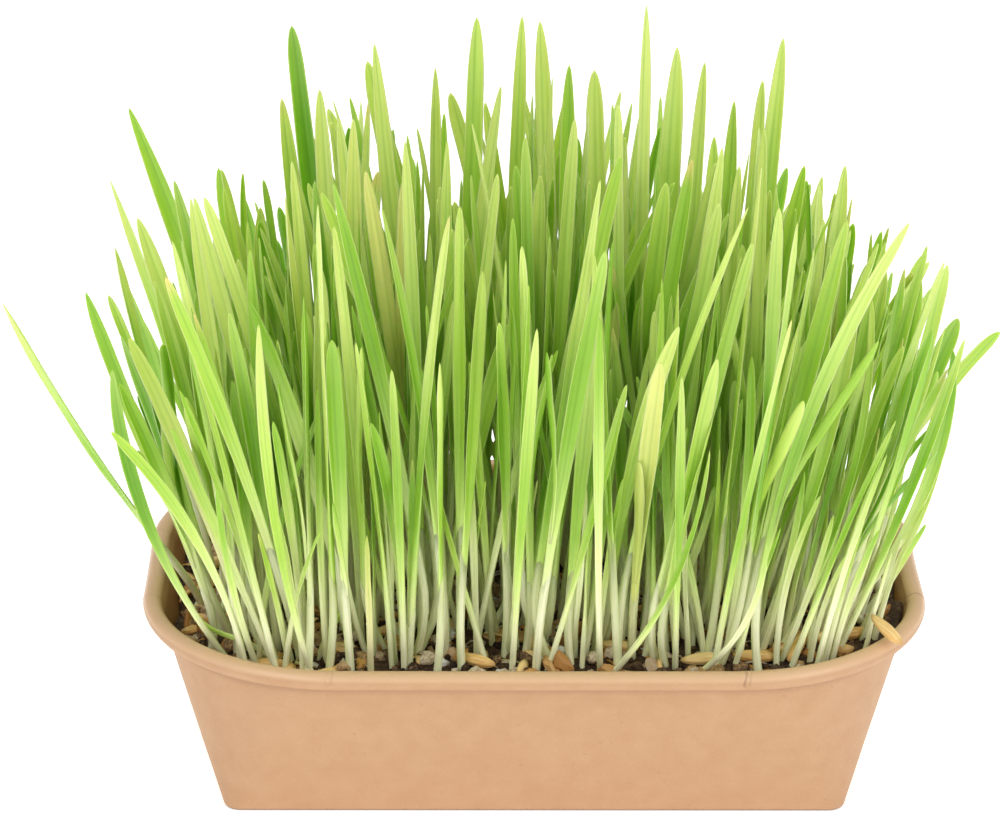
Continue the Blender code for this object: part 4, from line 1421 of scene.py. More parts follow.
@dataclass(frozen=True)
class Tint:
    """How a shoot is coloured.

    Attributes:
        greening: How soon it turns green above the soil, as a factor.
        tone: Deeper below 0, brighter above.
        age: How yellow it has turned, from 0 to 1.
        dry_tip: How dry its tip is, from 0 to 1.
    """

    greening: float
    tone: float
    age: float = 0.0
    dry_tip: float = 0.0


def bezier(points: Array, places: Array) -> tuple[Array, Array]:
    """Points of a cubic Bezier curve and its unit tangents.

    Args:
        points: The curve's four points a, b, c, d.
        places: Shares t of the way, with s = 1 - t.

    Returns:
        s^3 a + 3s^2t b + 3st^2 c + t^3 d, and the direction of s^2(b - a) + 2st(c - b) + t^2(d - c).
    """
    t = np.asarray(places)[:, None]
    s = 1.0 - t
    line = s**3 * points[0] + 3 * s * s * t * points[1] + 3 * s * t * t * points[2] + t**3 * points[3]
    slope = s * s * (points[1] - points[0]) + 2 * s * t * (points[2] - points[1])
    slope = slope + t * t * (points[3] - points[2])
    return line, unit(slope)


# A mesh's lowest and highest corners with its search tree
Shape = tuple[Array, Array, BVHTree]


@dataclass
class GrassBed:
    """Places the shoots in the soil by the frame's own seeded rule, so that none crosses another."""

    soil: SoilBed
    seed: int = 23
    per_tuft: int = 11
    mat_radius: float = 9.3 * MM
    mat_rise: float = 0.2 * MM
    root_reach: float = 7.0 * MM
    root_spacing: float = 2.7 * MM
    root_depth: float = 3.0 * MM
    ring_half_length: float = 66.6 * MM
    ring_half_width: float = 41.9 * MM
    ring_corner: float = 25.5 * MM
    ring_mats: int = 18
    inner_x: tuple[float, ...] = (-45.5 * MM, -22.6 * MM, 0.0, 22.6 * MM, 45.5 * MM)
    inner_y: tuple[float, ...] = (-20.9 * MM, 0.0, 20.9 * MM)
    stem_half_width: float = 1.05 * MM
    stem_depth: float = 1.75 * MM
    blade_depth: float = 0.8 * MM
    clearance: float = 0.22 * MM
    few_rings: tuple[float, ...] = (0.0, 0.28, 0.6, 0.87)
    key_rings: tuple[float, ...] = (0.0, 0.2, 0.45, 0.7, 0.9)
    half_length: float = 80.0 * MM
    half_width: float = 50.0 * MM
    end_lean: float = math.radians(11)
    side_lean: float = math.radians(7)
    lean_spread: float = math.radians(6.2)
    longest: float = 121.0 * MM
    end_shortening: float = 20.0 * MM
    shortest_share: float = 0.51
    dome_middle: float = -4.0 * MM
    dome_top: float = 156.0 * MM
    dome_fall: float = 50.0 * MM
    dome_half_length: float = 100.0 * MM
    dome_back_slope: float = 0.31
    side_limit: float = 104.0 * MM
    front_limit: float = 71.0 * MM
    rim_margin: float = 3.2 * MM
    edge_margin: float = 1.4 * MM
    ground_margin: float = 1.45 * MM
    clod_height: float = 0.55 * MM
    gap: float = 0.3 * MM
    outline_samples: int = 40
    sprout_width: float = 2.8 * MM

    def __post_init__(self) -> None:
        """Starts with the frame's loose grains and stones in the way."""
        self.centres = np.array(self.mat_centres())
        self.shoots: list[Shoot] = []
        self.roots: list[list[Array]] = [[] for _ in self.centres]
        self.shapes: list[Shape] = []
        for name in LOOSE_NODES:
            faces = [tuple(p.vertices) for p in frame["nodes"][name].data.polygons]
            self.shapes.append(self.shape_of(vertices_of(name), faces))

    def mat_centres(self) -> list[tuple[float, float]]:
        """Centres of the root mats: evenly along a rounded rectangle, then three rows inside it."""
        straight_x = self.ring_half_length - self.ring_corner
        straight_y = self.ring_half_width - self.ring_corner
        arc = self.ring_corner * math.pi / 2
        quarter = straight_x + straight_y + arc
        pitch = 4 * quarter / self.ring_mats
        centres = []
        for k in range(self.ring_mats):
            run = (k + 0.5) * pitch
            turn = int(run // quarter)
            run -= turn * quarter
            if turn % 2:
                run = quarter - run
            if run < straight_y:
                x, y = self.ring_half_length, run
            elif run < straight_y + arc:
                angle = (run - straight_y) / self.ring_corner
                x = straight_x + self.ring_corner * math.cos(angle)
                y = straight_y + self.ring_corner * math.sin(angle)
            else:
                x, y = quarter - run, self.ring_half_width
            centres.append((x * (1, -1, -1, 1)[turn], y * (1, 1, -1, -1)[turn]))
        return centres + [(x, y) for y in self.inner_y for x in self.inner_x]

    def half_widths(self, places: Array, half_width: float) -> Array:
        """Half width along a shoot: a thin stem that opens into the blade and narrows to the tip."""
        t = np.asarray(places)
        opening = smooth((t - 0.12) / 0.38)
        closing = np.clip((1.0 - t) / 0.34, 0.0, 1.0) ** 0.62
        return (self.stem_half_width + (half_width - self.stem_half_width) * opening) * closing

    def depths(self, places: Array) -> Array:
        """Depth of the section along a shoot: a round stem that flattens into the blade."""
        opening = np.clip((np.asarray(places) - 0.15) / 0.3, 0.0, 1.0)
        return self.stem_depth + (self.blade_depth - self.stem_depth) * opening

    def directions(self, shoot: Shoot, places: Array, tangent: Array) -> tuple[Array, Array]:
        """The ways a blade's face and side point, square to its line.

        The face starts as (cos a, sin a, 0) for a = facing + twist * t, less its part along the tangent. The
        side is the tangent crossed with the face.
        """
        turn = shoot.facing + shoot.twist * np.asarray(places)
        face = np.column_stack([np.cos(turn), np.sin(turn), np.zeros(len(turn))])
        face = unit(face - tangent * np.sum(face * tangent, axis=1, keepdims=True))
        return face, np.cross(tangent, face)

    def plain_blade(self, shoot: Shoot, grow: float) -> tuple[Array, list[tuple[int, ...]]]:
        """The frame's three-sided blade, grown by a clearance, to test what it would cross."""
        places = np.array(shoot.places + (1.0,))
        line, tangent = bezier(shoot.points, places)
        face, side = self.directions(shoot, places, tangent)
        depth = self.depths(places)
        width = (self.half_widths(places, shoot.half_width) + grow)[:, None]
        front = face * (depth / 3 + grow)[:, None]
        back = face * (depth * 2 / 3 + grow)[:, None]
        rings = len(places) - 1
        corners = np.stack([line + side * width + front, line - back, line - side * width + front], axis=1)
        vertices = np.concatenate([corners[:rings].reshape(-1, 3), line[-1:] + tangent[-1:] * grow])
        faces = [(2, 1, 0)]
        for a, b, c, d in band(rings, 3):
            faces += [(a, b, c), (a, c, d)]
        last = (rings - 1) * 3
        faces += [(last + k, last + (k + 1) % 3, len(vertices) - 1) for k in range(3)]
        return vertices, faces

    @staticmethod
    def shape_of(vertices: Array, faces: list[tuple[int, ...]]) -> Shape:
        """The shape of a mesh."""
        tree = BVHTree.FromPolygons([tuple(v) for v in vertices], faces)
        return vertices.min(axis=0), vertices.max(axis=0), tree

    def keep(self, shoot: Shoot, shape: Shape) -> None:
        """Takes a shoot into the bed."""
        self.shapes.append(shape)
        self.shoots.append(shoot)
        self.roots[shoot.tuft].append(shoot.foot)

    def outside(self, x: Array | float, y: Array | float) -> Array:
        """How far places lie outside the wall's inner face at the rim, negative inside."""
        half_x, half_y, radius = self.soil.tray.wall_size(self.soil.tray.height)
        qx = np.abs(x) - (half_x - radius)
        qy = np.abs(y) - (half_y - radius)
        outer = np.hypot(np.maximum(qx, 0.0), np.maximum(qy, 0.0))
        return outer + np.minimum(np.maximum(qx, qy), 0.0) - radius

    def is_over_tray(self, shoot: Shoot, beyond_mat: bool = False) -> bool:
        """Whether a shoot clears the rim, and the soil beyond its own mat unless it stands beyond it."""
        places = np.array(shoot.places + (1.0,))
        rings, _ = bezier(shoot.points, places)
        along = np.linspace(0.0, 1.0, self.outline_samples)
        line = np.column_stack([np.interp(along, places, rings[:, axis]) for axis in range(3)])
        reach = self.half_widths(along, shoot.half_width)
        low = line[:, 2] < self.soil.tray.height + self.rim_margin
        if np.any(low & (self.outside(line[:, 0], line[:, 1]) > -reach - self.gap)):
            return False
        if beyond_mat:
            return True
        centre = self.centres[shoot.tuft]
        away = np.hypot(line[:, 0] - centre[0], line[:, 1] - centre[1]) > self.mat_radius - self.edge_margin
        ground = self.soil.level_at(line[:, 0]) + 2 * self.clod_height + self.ground_margin
        return not np.any(away & (line[:, 2] < ground))

    def is_free(self, shape: Shape, parent: int = -1) -> bool:
        """Whether a shape crosses nothing placed before it, other than its parent."""
        for number, (lowest, highest, tree) in enumerate(self.shapes):
            if number == parent or np.any(shape[0] > highest) or np.any(shape[1] < lowest):
                continue
            if shape[2].overlap(tree):
                return False
        return True

    def add(self, shoot: Shoot) -> bool:
        """Keeps a shoot that is clear of everything, and says whether it was."""
        gaps = (np.linalg.norm(other - shoot.foot) for other in self.roots[shoot.tuft])
        if min(gaps, default=math.inf) <= self.root_spacing or not self.is_over_tray(shoot):
            return False
        shape = self.shape_of(*self.plain_blade(shoot, self.clearance))
        if not self.is_free(shape):
            return False
        self.keep(shoot, shape)
        return True

    def nearest_tuft(self, place: Array) -> int:
        """The tuft whose mat's centre is nearest to a place."""
        return int(np.argmin(np.linalg.norm(self.centres - place, axis=1)))

    def root_place(self, tuft: int, x: float, y: float) -> Array:
        """The nearest place to x and y where a shoot of a tuft can stand."""
        centre = self.centres[tuft]
        offset = np.array([x, y]) - centre
        far = np.linalg.norm(offset)
        if far > self.root_reach:
            offset = offset * self.root_reach / far
        x, y = centre + offset
        return np.array([x, y, float(self.soil.level_at(centre[0])) + self.mat_rise - self.root_depth])

    @staticmethod
    def curve(root: Array, tip: Array, bow: float) -> Array:
        """Four points of a line that starts more upright than its chord by its bow, and ends less so."""
        chord = tip - root
        length = np.linalg.norm(chord)
        way = chord / length
        up = np.array([0.0, 0.0, 1.0])
        start = unit(way * (1 - bow) + up * bow)
        end = unit(way * (1 + bow) - up * bow)
        return np.array([root, root + start * length * 0.35, tip - end * length * 0.32, tip])

    def plant_low_sprouts(self) -> None:
        """Plants the sprouts that lie low inside the rim."""
        for points in LOW_SPROUTS:
            points = np.array(points) * MM
            tuft = self.nearest_tuft(points[0, :2])
            facing = math.radians(-70)
            shoot = Shoot(tuft, points, self.sprout_width / 2, facing, 0.0, self.key_rings, BladeKind.SPROUT)
            self.keep(shoot, self.shape_of(*self.plain_blade(shoot, self.clearance)))

    def plant_key_shoots(self, random: np.random.Generator) -> None:
        """Plants the shoots of the outline, each a little further from its wanted place at each try."""
        for key in KEY_SHOOTS:
            wanted = np.array(key.root) * MM
            tuft = self.nearest_tuft(wanted)
            tip = np.array(key.tip) * MM
            for step in range(60):
                shift = random.normal(0.0, 0.06 * MM * step, 2)
                root = self.root_place(tuft, wanted[0] + shift[0], wanted[1] + shift[1])
                facing = -math.pi / 2 + random.uniform(-0.7, 0.7)
                points = self.curve(root, tip, key.bow)
                twist = random.uniform(-0.5, 0.5)
                if self.add(Shoot(tuft, points, key.width * MM / 2, facing, twist, self.key_rings)):
                    break

    def random_shoot(self, random: np.random.Generator, tuft: int) -> Shoot:
        """Draws one shoot: it leans outwards with the tray's ends, and bows a little."""
        draw, normal = random.uniform, random.normal
        angle = draw(0.0, FULL_TURN)
        far = self.root_reach * math.sqrt(draw(0.0, 1.0))
        centre = self.centres[tuft]
        root = self.root_place(tuft, centre[0] + far * math.cos(angle), centre[1] + far * math.sin(angle))
        share = root[0] / self.half_length
        lean_x = self.end_lean * root[0] / self.half_length + normal(0.0, self.lean_spread)
        lean_y = self.side_lean * root[1] / self.half_width + normal(0.0, self.lean_spread)
        full = self.longest - self.end_shortening * share * share
        length = full * (self.shortest_share + (1.0 - self.shortest_share) * random.beta(2.2, 1.3))
        way = np.array([math.tan(lean_x), math.tan(lean_y), 1.0])
        tip = root + unit(way) * (length + self.root_depth)
        points = self.curve(root, tip, normal(0.25, 0.4))
        half_width = random.triangular(1.3, 1.95, 2.5) * MM
        facing = -math.pi / 2 + normal(0.0, 0.9)
        return Shoot(tuft, points, half_width, facing, draw(-0.9, 0.9), self.few_rings)

    def tallest(self, x: float, y: float) -> float:
        """The height that random tips stay under: a dome along the length, lower towards the back."""
        share = np.abs(x - self.dome_middle) / self.dome_half_length
        return self.dome_top - self.dome_fall * share**2.2 - self.dome_back_slope * y

    def plant_random_shoots(self, random: np.random.Generator) -> None:
        """Fills every tuft, one shoot at a time in each, up to its share."""
        for _ in range(self.per_tuft):
            for tuft in range(len(self.centres)):
                if len(self.roots[tuft]) >= self.per_tuft:
                    continue
                for _ in range(45):
                    shoot = self.random_shoot(random, tuft)
                    tip = shoot.points[3]
                    if abs(tip[0]) > self.side_limit or abs(tip[1]) > self.front_limit:
                        continue
                    if tip[2] > self.tallest(tip[0], tip[1]):
                        continue
                    if self.add(shoot):
                        break

    def plant(self) -> None:
        """Plants every shoot in the frame's order of draws."""
        random = np.random.default_rng(self.seed)
        self.plant_low_sprouts()
        self.plant_key_shoots(random)
        self.plant_random_shoots(random)


@dataclass
class GrassStand:
    """Fine blades, sheaths, side leaves, young shoots and root mats, one piece for each tuft.

    Attributes:
        bed: Where the shoots stand.
        seed: Seed of the finish's draws.
        sheet: Thickness of a blade.
        side_share: How many shoots have a side leaf.
        young_count: How many young shoots stand between the others.
        young_spacing: Least gap between two roots.
        far_share: How many feet lie far from their line.
        near_slide, far_slide: How far the feet slide.
        wall_margin: Gap that a foot keeps to the wall.
        fold: How deep a blade is folded, as a share of the frame's.
        foot_reach: Share of a shoot over which its foot bends.
        leaf_tries, young_tries: Draws for each side leaf and each young shoot.
    """

    bed: GrassBed
    seed: int = 91
    sheet: float = 0.28 * MM
    side_share: float = 0.6
    young_count: int = 350
    young_spacing: float = 1.9 * MM
    young_left_end: float = -64.0 * MM
    young_right_end: float = 73.0 * MM
    added_limit: float = 92.0 * MM
    added_drop: float = 6.0 * MM
    foot_reach: float = 0.19
    leaf_tries: int = 12
    young_tries: int = 30
    far_share: float = 0.42
    near_slide: tuple[float, float] = (0.3 * MM, 3.0 * MM)
    far_slide: tuple[float, float] = (3.5 * MM, 9.5 * MM)
    wall_margin: float = 2.4 * MM
    fold: float = 1.15
    sheath_rings: int = 8
    sheath_columns: int = 10
    mat_columns: int = 28
    tip_rounding: tuple[float, float] = (8.0 * MM, 22.0 * MM)

    def __post_init__(self) -> None:
        """Starts the draws."""
        self.random = np.random.default_rng(self.seed)
        self.first_shape = len(self.bed.shapes) - len(self.bed.shoots)
        self.additions: list[Shoot] = []

    def path(self, shoot: Shoot, places: Array) -> tuple[Array, Array]:
        """A shoot's centre line, with its foot slid aside.

        The slide is the foot's shift times (1 - t / reach)^2 for t below the reach.

        Args:
            shoot: The shoot.
            places: Shares t of the way.

        Returns:
            Places and unit tangents.
        """
        line, tangent = bezier(shoot.points, places)
        left = np.clip(1 - places / self.foot_reach, 0.0, 1.0)[:, None]
        shift = np.array([*shoot.foot_shift, 0.0])
        line = line + shift * left**2
        tangent = tangent * shoot.reach - shift * left * 2 / self.foot_reach
        return line, unit(tangent)

    def slide_feet(self) -> None:
        """Slides each foot away from its nearest neighbour, some of them far, so that the stems bend."""
        roots = np.array([shoot.foot for shoot in self.bed.shoots])
        for shoot in self.bed.shoots:
            if shoot.kind is BladeKind.SPROUT:
                continue
            away = shoot.foot - roots
            nearest = away[np.argsort(np.hypot(*away.T))[1]]
            heading = math.atan2(nearest[1], nearest[0]) + self.random.normal(0.0, 0.6)
            is_far = self.random.uniform() < self.far_share
            reach = self.random.uniform(*(self.far_slide if is_far else self.near_slide))
            slide = reach * np.array([math.cos(heading), math.sin(heading)])
            for _ in range(6):
                if self.bed.outside(*(shoot.foot + slide)) > -self.wall_margin:
                    slide = slide * 0.6
            shoot.foot_shift = (float(slide[0]), float(slide[1]))

    def grow_side_leaves(self) -> None:
        """Grows a thinner leaf out of some shoots, leaning away from them, clear of the rest."""
        for number, shoot in enumerate(self.bed.shoots):
            if shoot.kind is BladeKind.SPROUT or self.random.uniform() > self.side_share:
                continue
            for _ in range(self.leaf_tries):
                if self.take(self.side_leaf(shoot, number), self.first_shape + number):
                    break

    def take(self, shoot: Shoot, parent: int = -1) -> bool:
        """Keeps an added shoot that stays inside the stand and crosses nothing, and says whether it did."""
        tip = shoot.points[3]
        if abs(tip[0]) > self.added_limit or abs(tip[1]) > self.bed.front_limit:
            return False
        if tip[2] > self.bed.tallest(tip[0], tip[1]) - self.added_drop:
            return False
        shape = self.bed.shape_of(*self.bed.plain_blade(shoot, 0.02 * MM))
        if not self.bed.is_free(shape, parent):
            return False
        self.additions.append(shoot)
        self.bed.shapes.append(shape)
        return True

    def side_leaf(self, shoot: Shoot, number: int) -> Shoot:
        """Draws a side leaf: it leaves its shoot between 20% and 42% of the way, at 4 to 17 degrees."""
        draw = self.random.uniform
        start = draw(0.2, 0.42)
        line, tangent = bezier(shoot.points, np.array([start]))
        lean = math.radians(draw(4.0, 17.0))
        heading = draw(0.0, FULL_TURN)
        out = np.array([math.cos(heading), math.sin(heading), 0.0])
        way = unit(tangent[0] * math.cos(lean) + out * math.sin(lean))
        reach = shoot.reach * draw(0.35, 0.62)
        root = line[0]
        tip = root + way * reach
        points = np.array([root, root + tangent[0] * reach * 0.35, tip - way * reach * 0.3, tip])
        return Shoot(
            shoot.tuft,
            points,
            shoot.half_width * draw(0.5, 0.85),
            math.atan2(-out[1], -out[0]) + self.random.normal(0.0, 0.5),
            draw(-0.6, 0.6),
            self.bed.few_rings,
            BladeKind.SIDE,
            grown=start * shoot.reach,
            parent=number,
        )

    def grow_young_shoots(self) -> None:
        """Grows thinner shoots between the others, two in five of them in the front part of the tray."""
        roots = [shoot.foot for shoot in self.bed.shoots]
        grown = 0
        for _ in range(self.young_count * self.young_tries):
            if grown == self.young_count:
                break
            shoot = self.young_shoot(front=grown % 5 < 2)
            if np.min(np.hypot(*(np.array(roots) - shoot.foot).T)) < self.young_spacing:
                continue
            if self.bed.is_over_tray(shoot, beyond_mat=True) and self.take(shoot):
                roots.append(shoot.foot)
                grown += 1
        log.info("young shoots: %d", grown)

    def young_shoot(self, front: bool) -> Shoot:
        """Draws a young shoot: more often leaning, and often lying at its foot before it rises.

        Args:
            front: Whether it stands in the front part of the tray.

        Returns:
            The shoot.
        """
        bed = self.bed
        draw, normal = self.random.uniform, self.random.normal
        x = draw(self.young_left_end, self.young_right_end)
        y = -draw(12.0, 49.0) * MM if front else draw(-48.0, 48.0) * MM
        root = np.array([x, y, float(bed.soil.level_at(x)) + bed.mat_rise - bed.root_depth])
        spread = math.radians(16 if draw() < 0.4 else 7)
        lean_x = bed.end_lean * x / bed.half_length + normal(0.0, spread)
        lean_y = bed.side_lean * y / bed.half_width + normal(0.0, spread * 0.7)
        way = np.array([math.tan(lean_x), math.tan(lean_y), 1.0])
        length = draw(42.0, 106.0) * MM - bed.end_shortening * (x / bed.half_length) ** 2
        bow = draw(-1.5, -0.5) if draw() < 0.3 else normal(0.2, 0.4)
        growth = float(smooth((length - 40 * MM) / (45 * MM)))
        return Shoot(
            bed.nearest_tuft(root[:2]),
            bed.curve(root, root + unit(way) * length, bow),
            draw(0.85, 1.6) * MM * (0.55 + 0.45 * growth),
            -math.pi / 2 + normal(0.0, 0.9),
            draw(-0.9, 0.9),
            bed.few_rings,
            BladeKind.YOUNG,
        )

    def tint(self, shoot: Shoot) -> Tint:
        """Draws a shoot's colouring."""
        if shoot.kind is BladeKind.SPROUT:
            return Tint(3.0, 0.9)
        draw = self.random.uniform
        tone = float(np.clip(self.random.normal(0.1, 0.5), -1, 1))
        age = draw(0.15, 0.5) if draw() < 0.03 else 0.0
        dry_tip = draw(0.3, 1.0) if draw() < 0.06 else 0.0
        return Tint(draw(0.75, 1.9), tone, age, dry_tip)

    def half_widths(self, shoot: Shoot, places: Array, length: float) -> Array:
        """Half width along a fine blade.

        It opens later than the frame's blade, narrows to three quarters over the upper 40%, and rounds off at
        the tip as (1 - (1 - s)^2)^0.6, where s is the share of the last stretch still left.
        """
        stem = self.bed.stem_half_width * (0.68 if shoot.kind is BladeKind.YOUNG else 0.8)
        opening = smooth((places - 0.2) / 0.56)
        left = (1 - places) * length
        share = np.clip(left / (self.random.uniform(*self.tip_rounding) * length / (100 * MM)), 0.0, 1.0)
        narrowing = 0.76 + 0.24 * smooth((1 - places) / 0.4)
        rounding = (1 - (1 - share) ** 2) ** 0.6
        if shoot.kind is BladeKind.SPROUT:
            return 0.72 * stem * rounding
        return (stem + (shoot.half_width - stem) * opening) * narrowing * rounding

    def blade(self, patch: Patchwork, shoot: Shoot, tint: Tint) -> None:
        """Adds one blade.

        Its section is an ellipse at the foot and a folded sheet above: at share u of the half width the fold
        stands at depth * (|u|^1.3 - 2/3), and the two faces lie half the sheet's thickness to either side,
        meeting at the edges. Rings lie at r - 0.75 sin(2 pi r) / (2 pi) for even shares r.

        Args:
            patch: The tuft's mesh.
            shoot: The blade's line and sizes.
            tint: Its colouring.
        """
        bed = self.bed
        rings, columns = (30, 12) if shoot.kind is BladeKind.MAIN else (24, 10)
        run = np.linspace(0.0, 1.0, rings + 1)[:-1]
        places = run - 0.75 * np.sin(FULL_TURN * run) / FULL_TURN
        line, tangent = self.path(shoot, places)
        face, side = bed.directions(shoot, places, tangent)
        step = np.linalg.norm(np.diff(line, axis=0), axis=1)
        far = np.concatenate([[0.0], np.cumsum(step)])
        length = far[-1] / places[-1]
        half = self.half_widths(shoot, places, length)
        flat = smooth((places - 0.18) / 0.34)
        if shoot.kind is BladeKind.SIDE:
            half = half * (0.4 + 0.6 * smooth(places / 0.3))
            flat = smooth(places / 0.4)
        elif shoot.kind is BladeKind.SPROUT:
            flat = 0.4 * smooth(places / 0.6)
        closing = np.clip((1.0 - places) * length / (7 * MM), 0.0, 1.0) ** 0.7
        angle = angles(columns)
        cos, sin = np.cos(angle), np.sin(angle)
        roundness = np.minimum(bed.stem_depth / 2 * 0.9, half * 0.85)
        stem_v = roundness[:, None] * sin - bed.stem_depth / 6 * closing[:, None]
        depth = self.fold * bed.blade_depth * np.minimum(1.0, half / (1.6 * MM)) * (0.3 + 0.7 * closing)
        ripple = 0.1 * MM * np.sin(FULL_TURN * (3.3 * places + tint.tone))[:, None] * np.sign(cos) * cos**2
        fold = depth[:, None] * (np.abs(cos)[None] ** 1.3 - 2 / 3) + ripple
        blade_v = fold + self.sheet / 2 * sin[None] * np.minimum(1.0, closing * 3)[:, None]
        u = half[:, None] * cos[None]
        v = stem_v * (1 - flat)[:, None] + blade_v * flat[:, None]
        skin = line[:, None] + side[:, None] * u[..., None] + face[:, None] * v[..., None]
        rise = (shoot.grown + far - bed.root_depth) / MM * tint.greening
        age = tint.age + tint.dry_tip * smooth(1 - (length - far) / (7 * MM))
        along = far / (20 * MM)
        tip = shoot.points[3]
        patch.add_tube(skin, line[0], tip, cos * 0.5 + 0.5, along, rise=rise, tone=tint.tone, age=age)

    def sheath(self, patch: Patchwork, shoot: Shoot, tint: Tint) -> None:
        """Adds the pale sheath that the leaf grew through: a sleeve round the stem with a slanted mouth.

        Its section is the stem's ellipse, a little wider. At the mouth it turns in by the skin's thickness,
        goes down inside a short way and closes onto the stem.

        Args:
            patch: The tuft's mesh.
            shoot: The shoot that it holds.
            tint: The shoot's own colouring.
        """
        bed = self.bed
        columns = self.sheath_columns
        end = self.random.uniform(0.13, 0.36)
        places = np.concatenate([np.linspace(0.0, end, self.sheath_rings), [end, end * 0.93]])
        shrink = np.concatenate([np.zeros(self.sheath_rings), [0.08 * MM, 0.1 * MM]])
        line, tangent = self.path(shoot, places)
        face, side = bed.directions(shoot, places, tangent)
        length = shoot.reach
        half = self.half_widths(shoot, places, length) + 0.09 * MM - shrink
        deep = bed.stem_depth / 2 * 0.9 + 0.09 * MM - shrink - 0.28 * MM * smooth((places - 0.12) / 0.25)
        angle = angles(columns)
        u = half[:, None] * np.cos(angle)
        v = deep[:, None] * np.sin(angle) - bed.stem_depth / 6
        phase = self.random.uniform(0.0, FULL_TURN)
        slant = 2.6 * MM * np.cos(angle - phase)[None] * ((places / end) ** 8)[:, None]
        skin = line[:, None] + side[:, None] * u[..., None] + face[:, None] * v[..., None]
        skin = skin + tangent[:, None] * slant[..., None]
        rise = (places * length - bed.root_depth) / MM * tint.greening * 0.85
        along = places * length / (20 * MM)
        across = np.cos(angle) * 0.5 + 0.5
        patch.add_tube(skin, line[0], line[-1], across, along, rise=rise, tone=tint.tone, age=tint.age * 0.5)

    def root_mat(self, patch: Patchwork, tuft: int) -> None:
        """Adds the felt of roots under a tuft: a rough disc that narrows downwards, sunk in the soil."""
        bed = self.bed
        x, y = bed.centres[tuft]
        top = float(bed.soil.level_at(x)) + bed.mat_rise
        share = np.array([0.35, 0.7, 0.93, 1.0, 0.97, 0.9, 0.86, 0.5])
        height = np.array([0.0, 0.0, -0.2, -1.0, -3.0, -6.0, -7.8, -8.0]) * MM
        angle = angles(self.mat_columns)
        radius = share[:, None] * (bed.mat_radius - 0.3 * MM)
        levels = np.broadcast_to(top + height[:, None], (len(share), self.mat_columns))
        rings = np.stack([x + radius * np.cos(angle), y + radius * np.sin(angle), levels], axis=-1)
        noise = lattice_noise(rings.reshape(-1, 3), 1.5 * MM, 5).reshape(levels.shape)
        rings[..., 2] += 0.25 * MM * noise - 0.25 * MM
        first = np.array([x, y, top - 0.3 * MM])
        patch.add_tube(rings, first, np.array([x, y, top - 8.0 * MM]), rise=-5.0, tone=-0.2, age=0.6)

    def build(self, leaf: Material) -> None:
        """Makes one piece for each tuft, with its mat, shoots, sheaths, side leaves and young shoots."""
        self.slide_feet()
        self.grow_side_leaves()
        self.grow_young_shoots()
        tints = [self.tint(shoot) for shoot in self.bed.shoots]
        for tuft in range(len(self.bed.centres)):
            patch = Patchwork()
            self.root_mat(patch, tuft)
            for shoot, tint in zip(self.bed.shoots, tints):
                if shoot.tuft != tuft:
                    continue
                self.blade(patch, shoot, tint)
                if shoot.kind is BladeKind.MAIN:
                    self.sheath(patch, shoot, tint)
            for shoot in (s for s in self.additions if s.tuft == tuft):
                self.blade(patch, shoot, tints[shoot.parent] if shoot.parent >= 0 else self.tint(shoot))
            made = patch.build(f"shoots_of_tuft_{tuft + 1:02d}", leaf, Slot.GRASS)
            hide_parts(f"tuft_{tuft + 1:02d}")


# The studio


def set_down(name: str, data: ID, *columns: Array) -> Object:
    """Makes a camera or a light in the scene.

    Args:
        name: Its name.
        data: What it is.
        *columns: The ways of its right side, its top and its back, and its place.

    Returns:
        The object.
    """
    made = new_object(name, data)
    matrix = np.eye(4)
    matrix[:3] = np.column_stack(columns)
    made.matrix_world = Matrix(matrix.tolist())
    return made


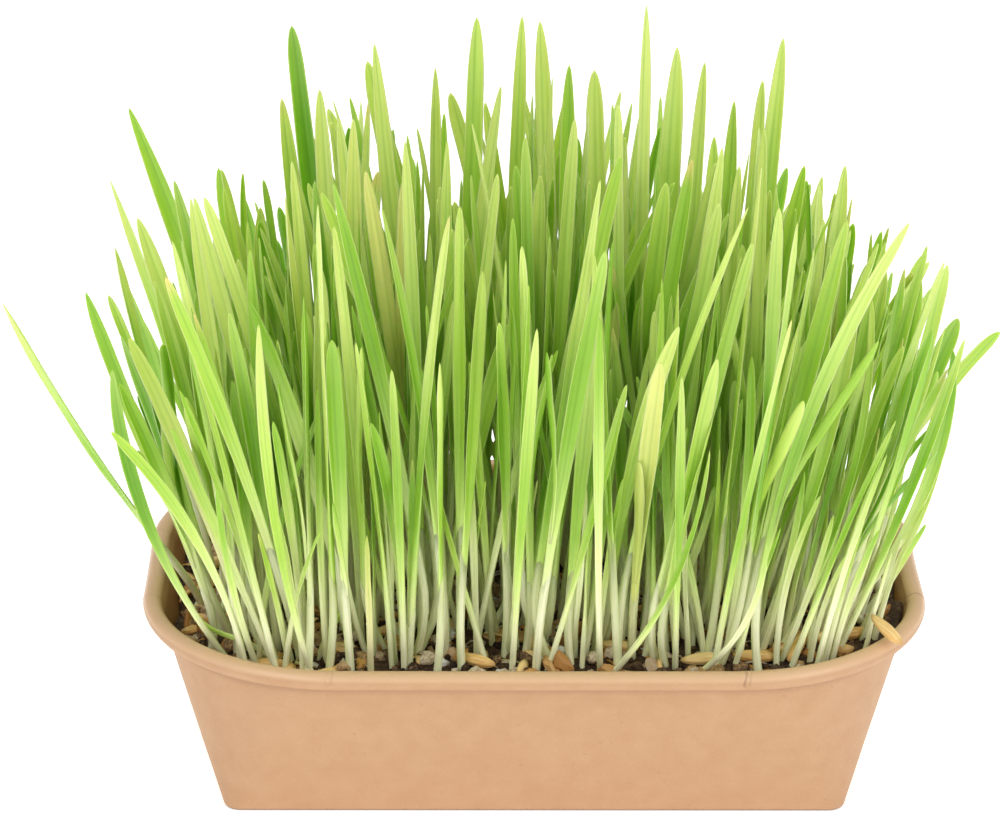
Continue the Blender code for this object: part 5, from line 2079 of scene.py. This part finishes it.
@dataclass
class Studio:
    """A white floor, soft lights and the camera at the photograph's angle.

    Attributes:
        elevation, yaw, roll: The camera's angles.
        distance: From the camera to its aim.
        aim: The point that it looks at.
        lens: Focal length in millimetres on a 36 mm sensor.
    """

    elevation: float = math.radians(22.12)
    yaw: float = math.radians(-0.682)
    roll: float = math.radians(0.359)
    distance: float = 0.99081
    aim: tuple[float, float, float] = (-0.00759, 0.0, 0.07856)
    lens: float = 161.915
    floor_half: float = 4.0
    lit_point: tuple[float, float, float] = (0.0, 0.0, 0.08)

    def build_camera(self) -> None:
        """Places the camera on the line back from its aim, rolled about that line."""
        cos = math.cos(self.elevation)
        back = np.array([math.sin(self.yaw) * cos, -math.cos(self.yaw) * cos, math.sin(self.elevation)])
        right = unit(np.cross(-back, [0.0, 0.0, 1.0]))
        up = np.cross(right, -back)
        turned_right = right * math.cos(self.roll) + up * math.sin(self.roll)
        turned_up = up * math.cos(self.roll) - right * math.sin(self.roll)
        place = np.array(self.aim) + back * self.distance
        data = bpy.data.cameras.new("camera")
        data.lens = self.lens
        data.sensor_width = 36.0
        data.sensor_fit = "HORIZONTAL"
        data.clip_start = 0.01
        data.clip_end = 50.0
        bpy.context.scene.camera = set_down("camera", data, turned_right, turned_up, back, place)

    def build_floor(self) -> None:
        """A large matt white floor."""
        material, tree = new_material("matt_white_floor")
        sockets = {
            "Base Color": linear("#FAFAFA"),
            "Roughness": 0.9,
            "Specular IOR Level": 0.1,
            "Emission Color": (1.0, 1.0, 1.0, 1.0),
            "Emission Strength": 0.57,
        }
        set_sockets(tree.nodes["Principled BSDF"], sockets)
        half = self.floor_half
        mesh = bpy.data.meshes.new("floor")
        corners = [(-half, -half, 0.0), (half, -half, 0.0), (half, half, 0.0), (-half, half, 0.0)]
        mesh.from_pydata(corners, [], [(0, 1, 2, 3)])
        mesh.materials.append(material)
        floor = new_object("floor", mesh)
        floor.location.z = -0.02 * MM

    def build_light(self, name: str, place: tuple[float, float, float], size: float, power: float) -> None:
        """One square soft light that looks at the object."""
        data = bpy.data.lights.new(name, "AREA")
        data.shape = "SQUARE"
        data.size = size
        data.energy = power
        back = unit(np.array(place) - self.lit_point)
        right = unit(np.cross([0.0, 0.0, 1.0], back))
        set_down(name, data, right, np.cross(back, right), back, place)

    def build(self) -> None:
        """Makes the floor, the lights, the pale surroundings and the camera."""
        self.build_camera()
        self.build_floor()
        self.build_light("key_light", (-1.1, -1.4, 1.5), 1.2, 14.5)
        self.build_light("fill_light", (1.3, -1.1, 0.9), 1.2, 10.5)
        self.build_light("top_light", (0.1, 0.5, 1.9), 1.4, 14.5)
        world = bpy.data.worlds.new("pale_surroundings")
        bpy.context.scene.world = world
        world.use_nodes = True
        set_sockets(world.node_tree.nodes["Background"], {"Color": linear("#FFFFFF"), "Strength": 0.46})
        bpy.context.scene.view_settings.view_transform = "Standard"


def main() -> None:
    """Builds the studio, the tray, the soil, the grass and the loose things, in that order."""
    logging.basicConfig(level=logging.INFO, format="%(message)s")
    Studio().build()
    paper = KraftPaper().material()
    soil = SOIL.material()
    tray = PaperTray()
    tray.build_wall(paper)
    tray.dress_base(paper)
    ground = SoilBed(tray)
    ground.build_body(soil)
    bed = GrassBed(ground)
    bed.plant()
    log.info("shoots: %d", len(bed.shoots))
    stand = GrassStand(bed)
    stand.build(GrassLeaf().material())
    standing = bed.shoots + [s for s in stand.additions if s.kind is BladeKind.YOUNG]
    stems = np.array([shoot.foot + shoot.foot_shift for shoot in standing])
    finishes = {
        Slot.SOIL: soil,
        Slot.HUSK: OatHusk().material(),
        Slot.GRAVEL: GRAVEL.material(),
        Slot.PERLITE: PERLITE.material(),
    }
    LooseLitter(ground, stems, finishes).build(ROOT.material())


if __name__ == "__main__":
    main()
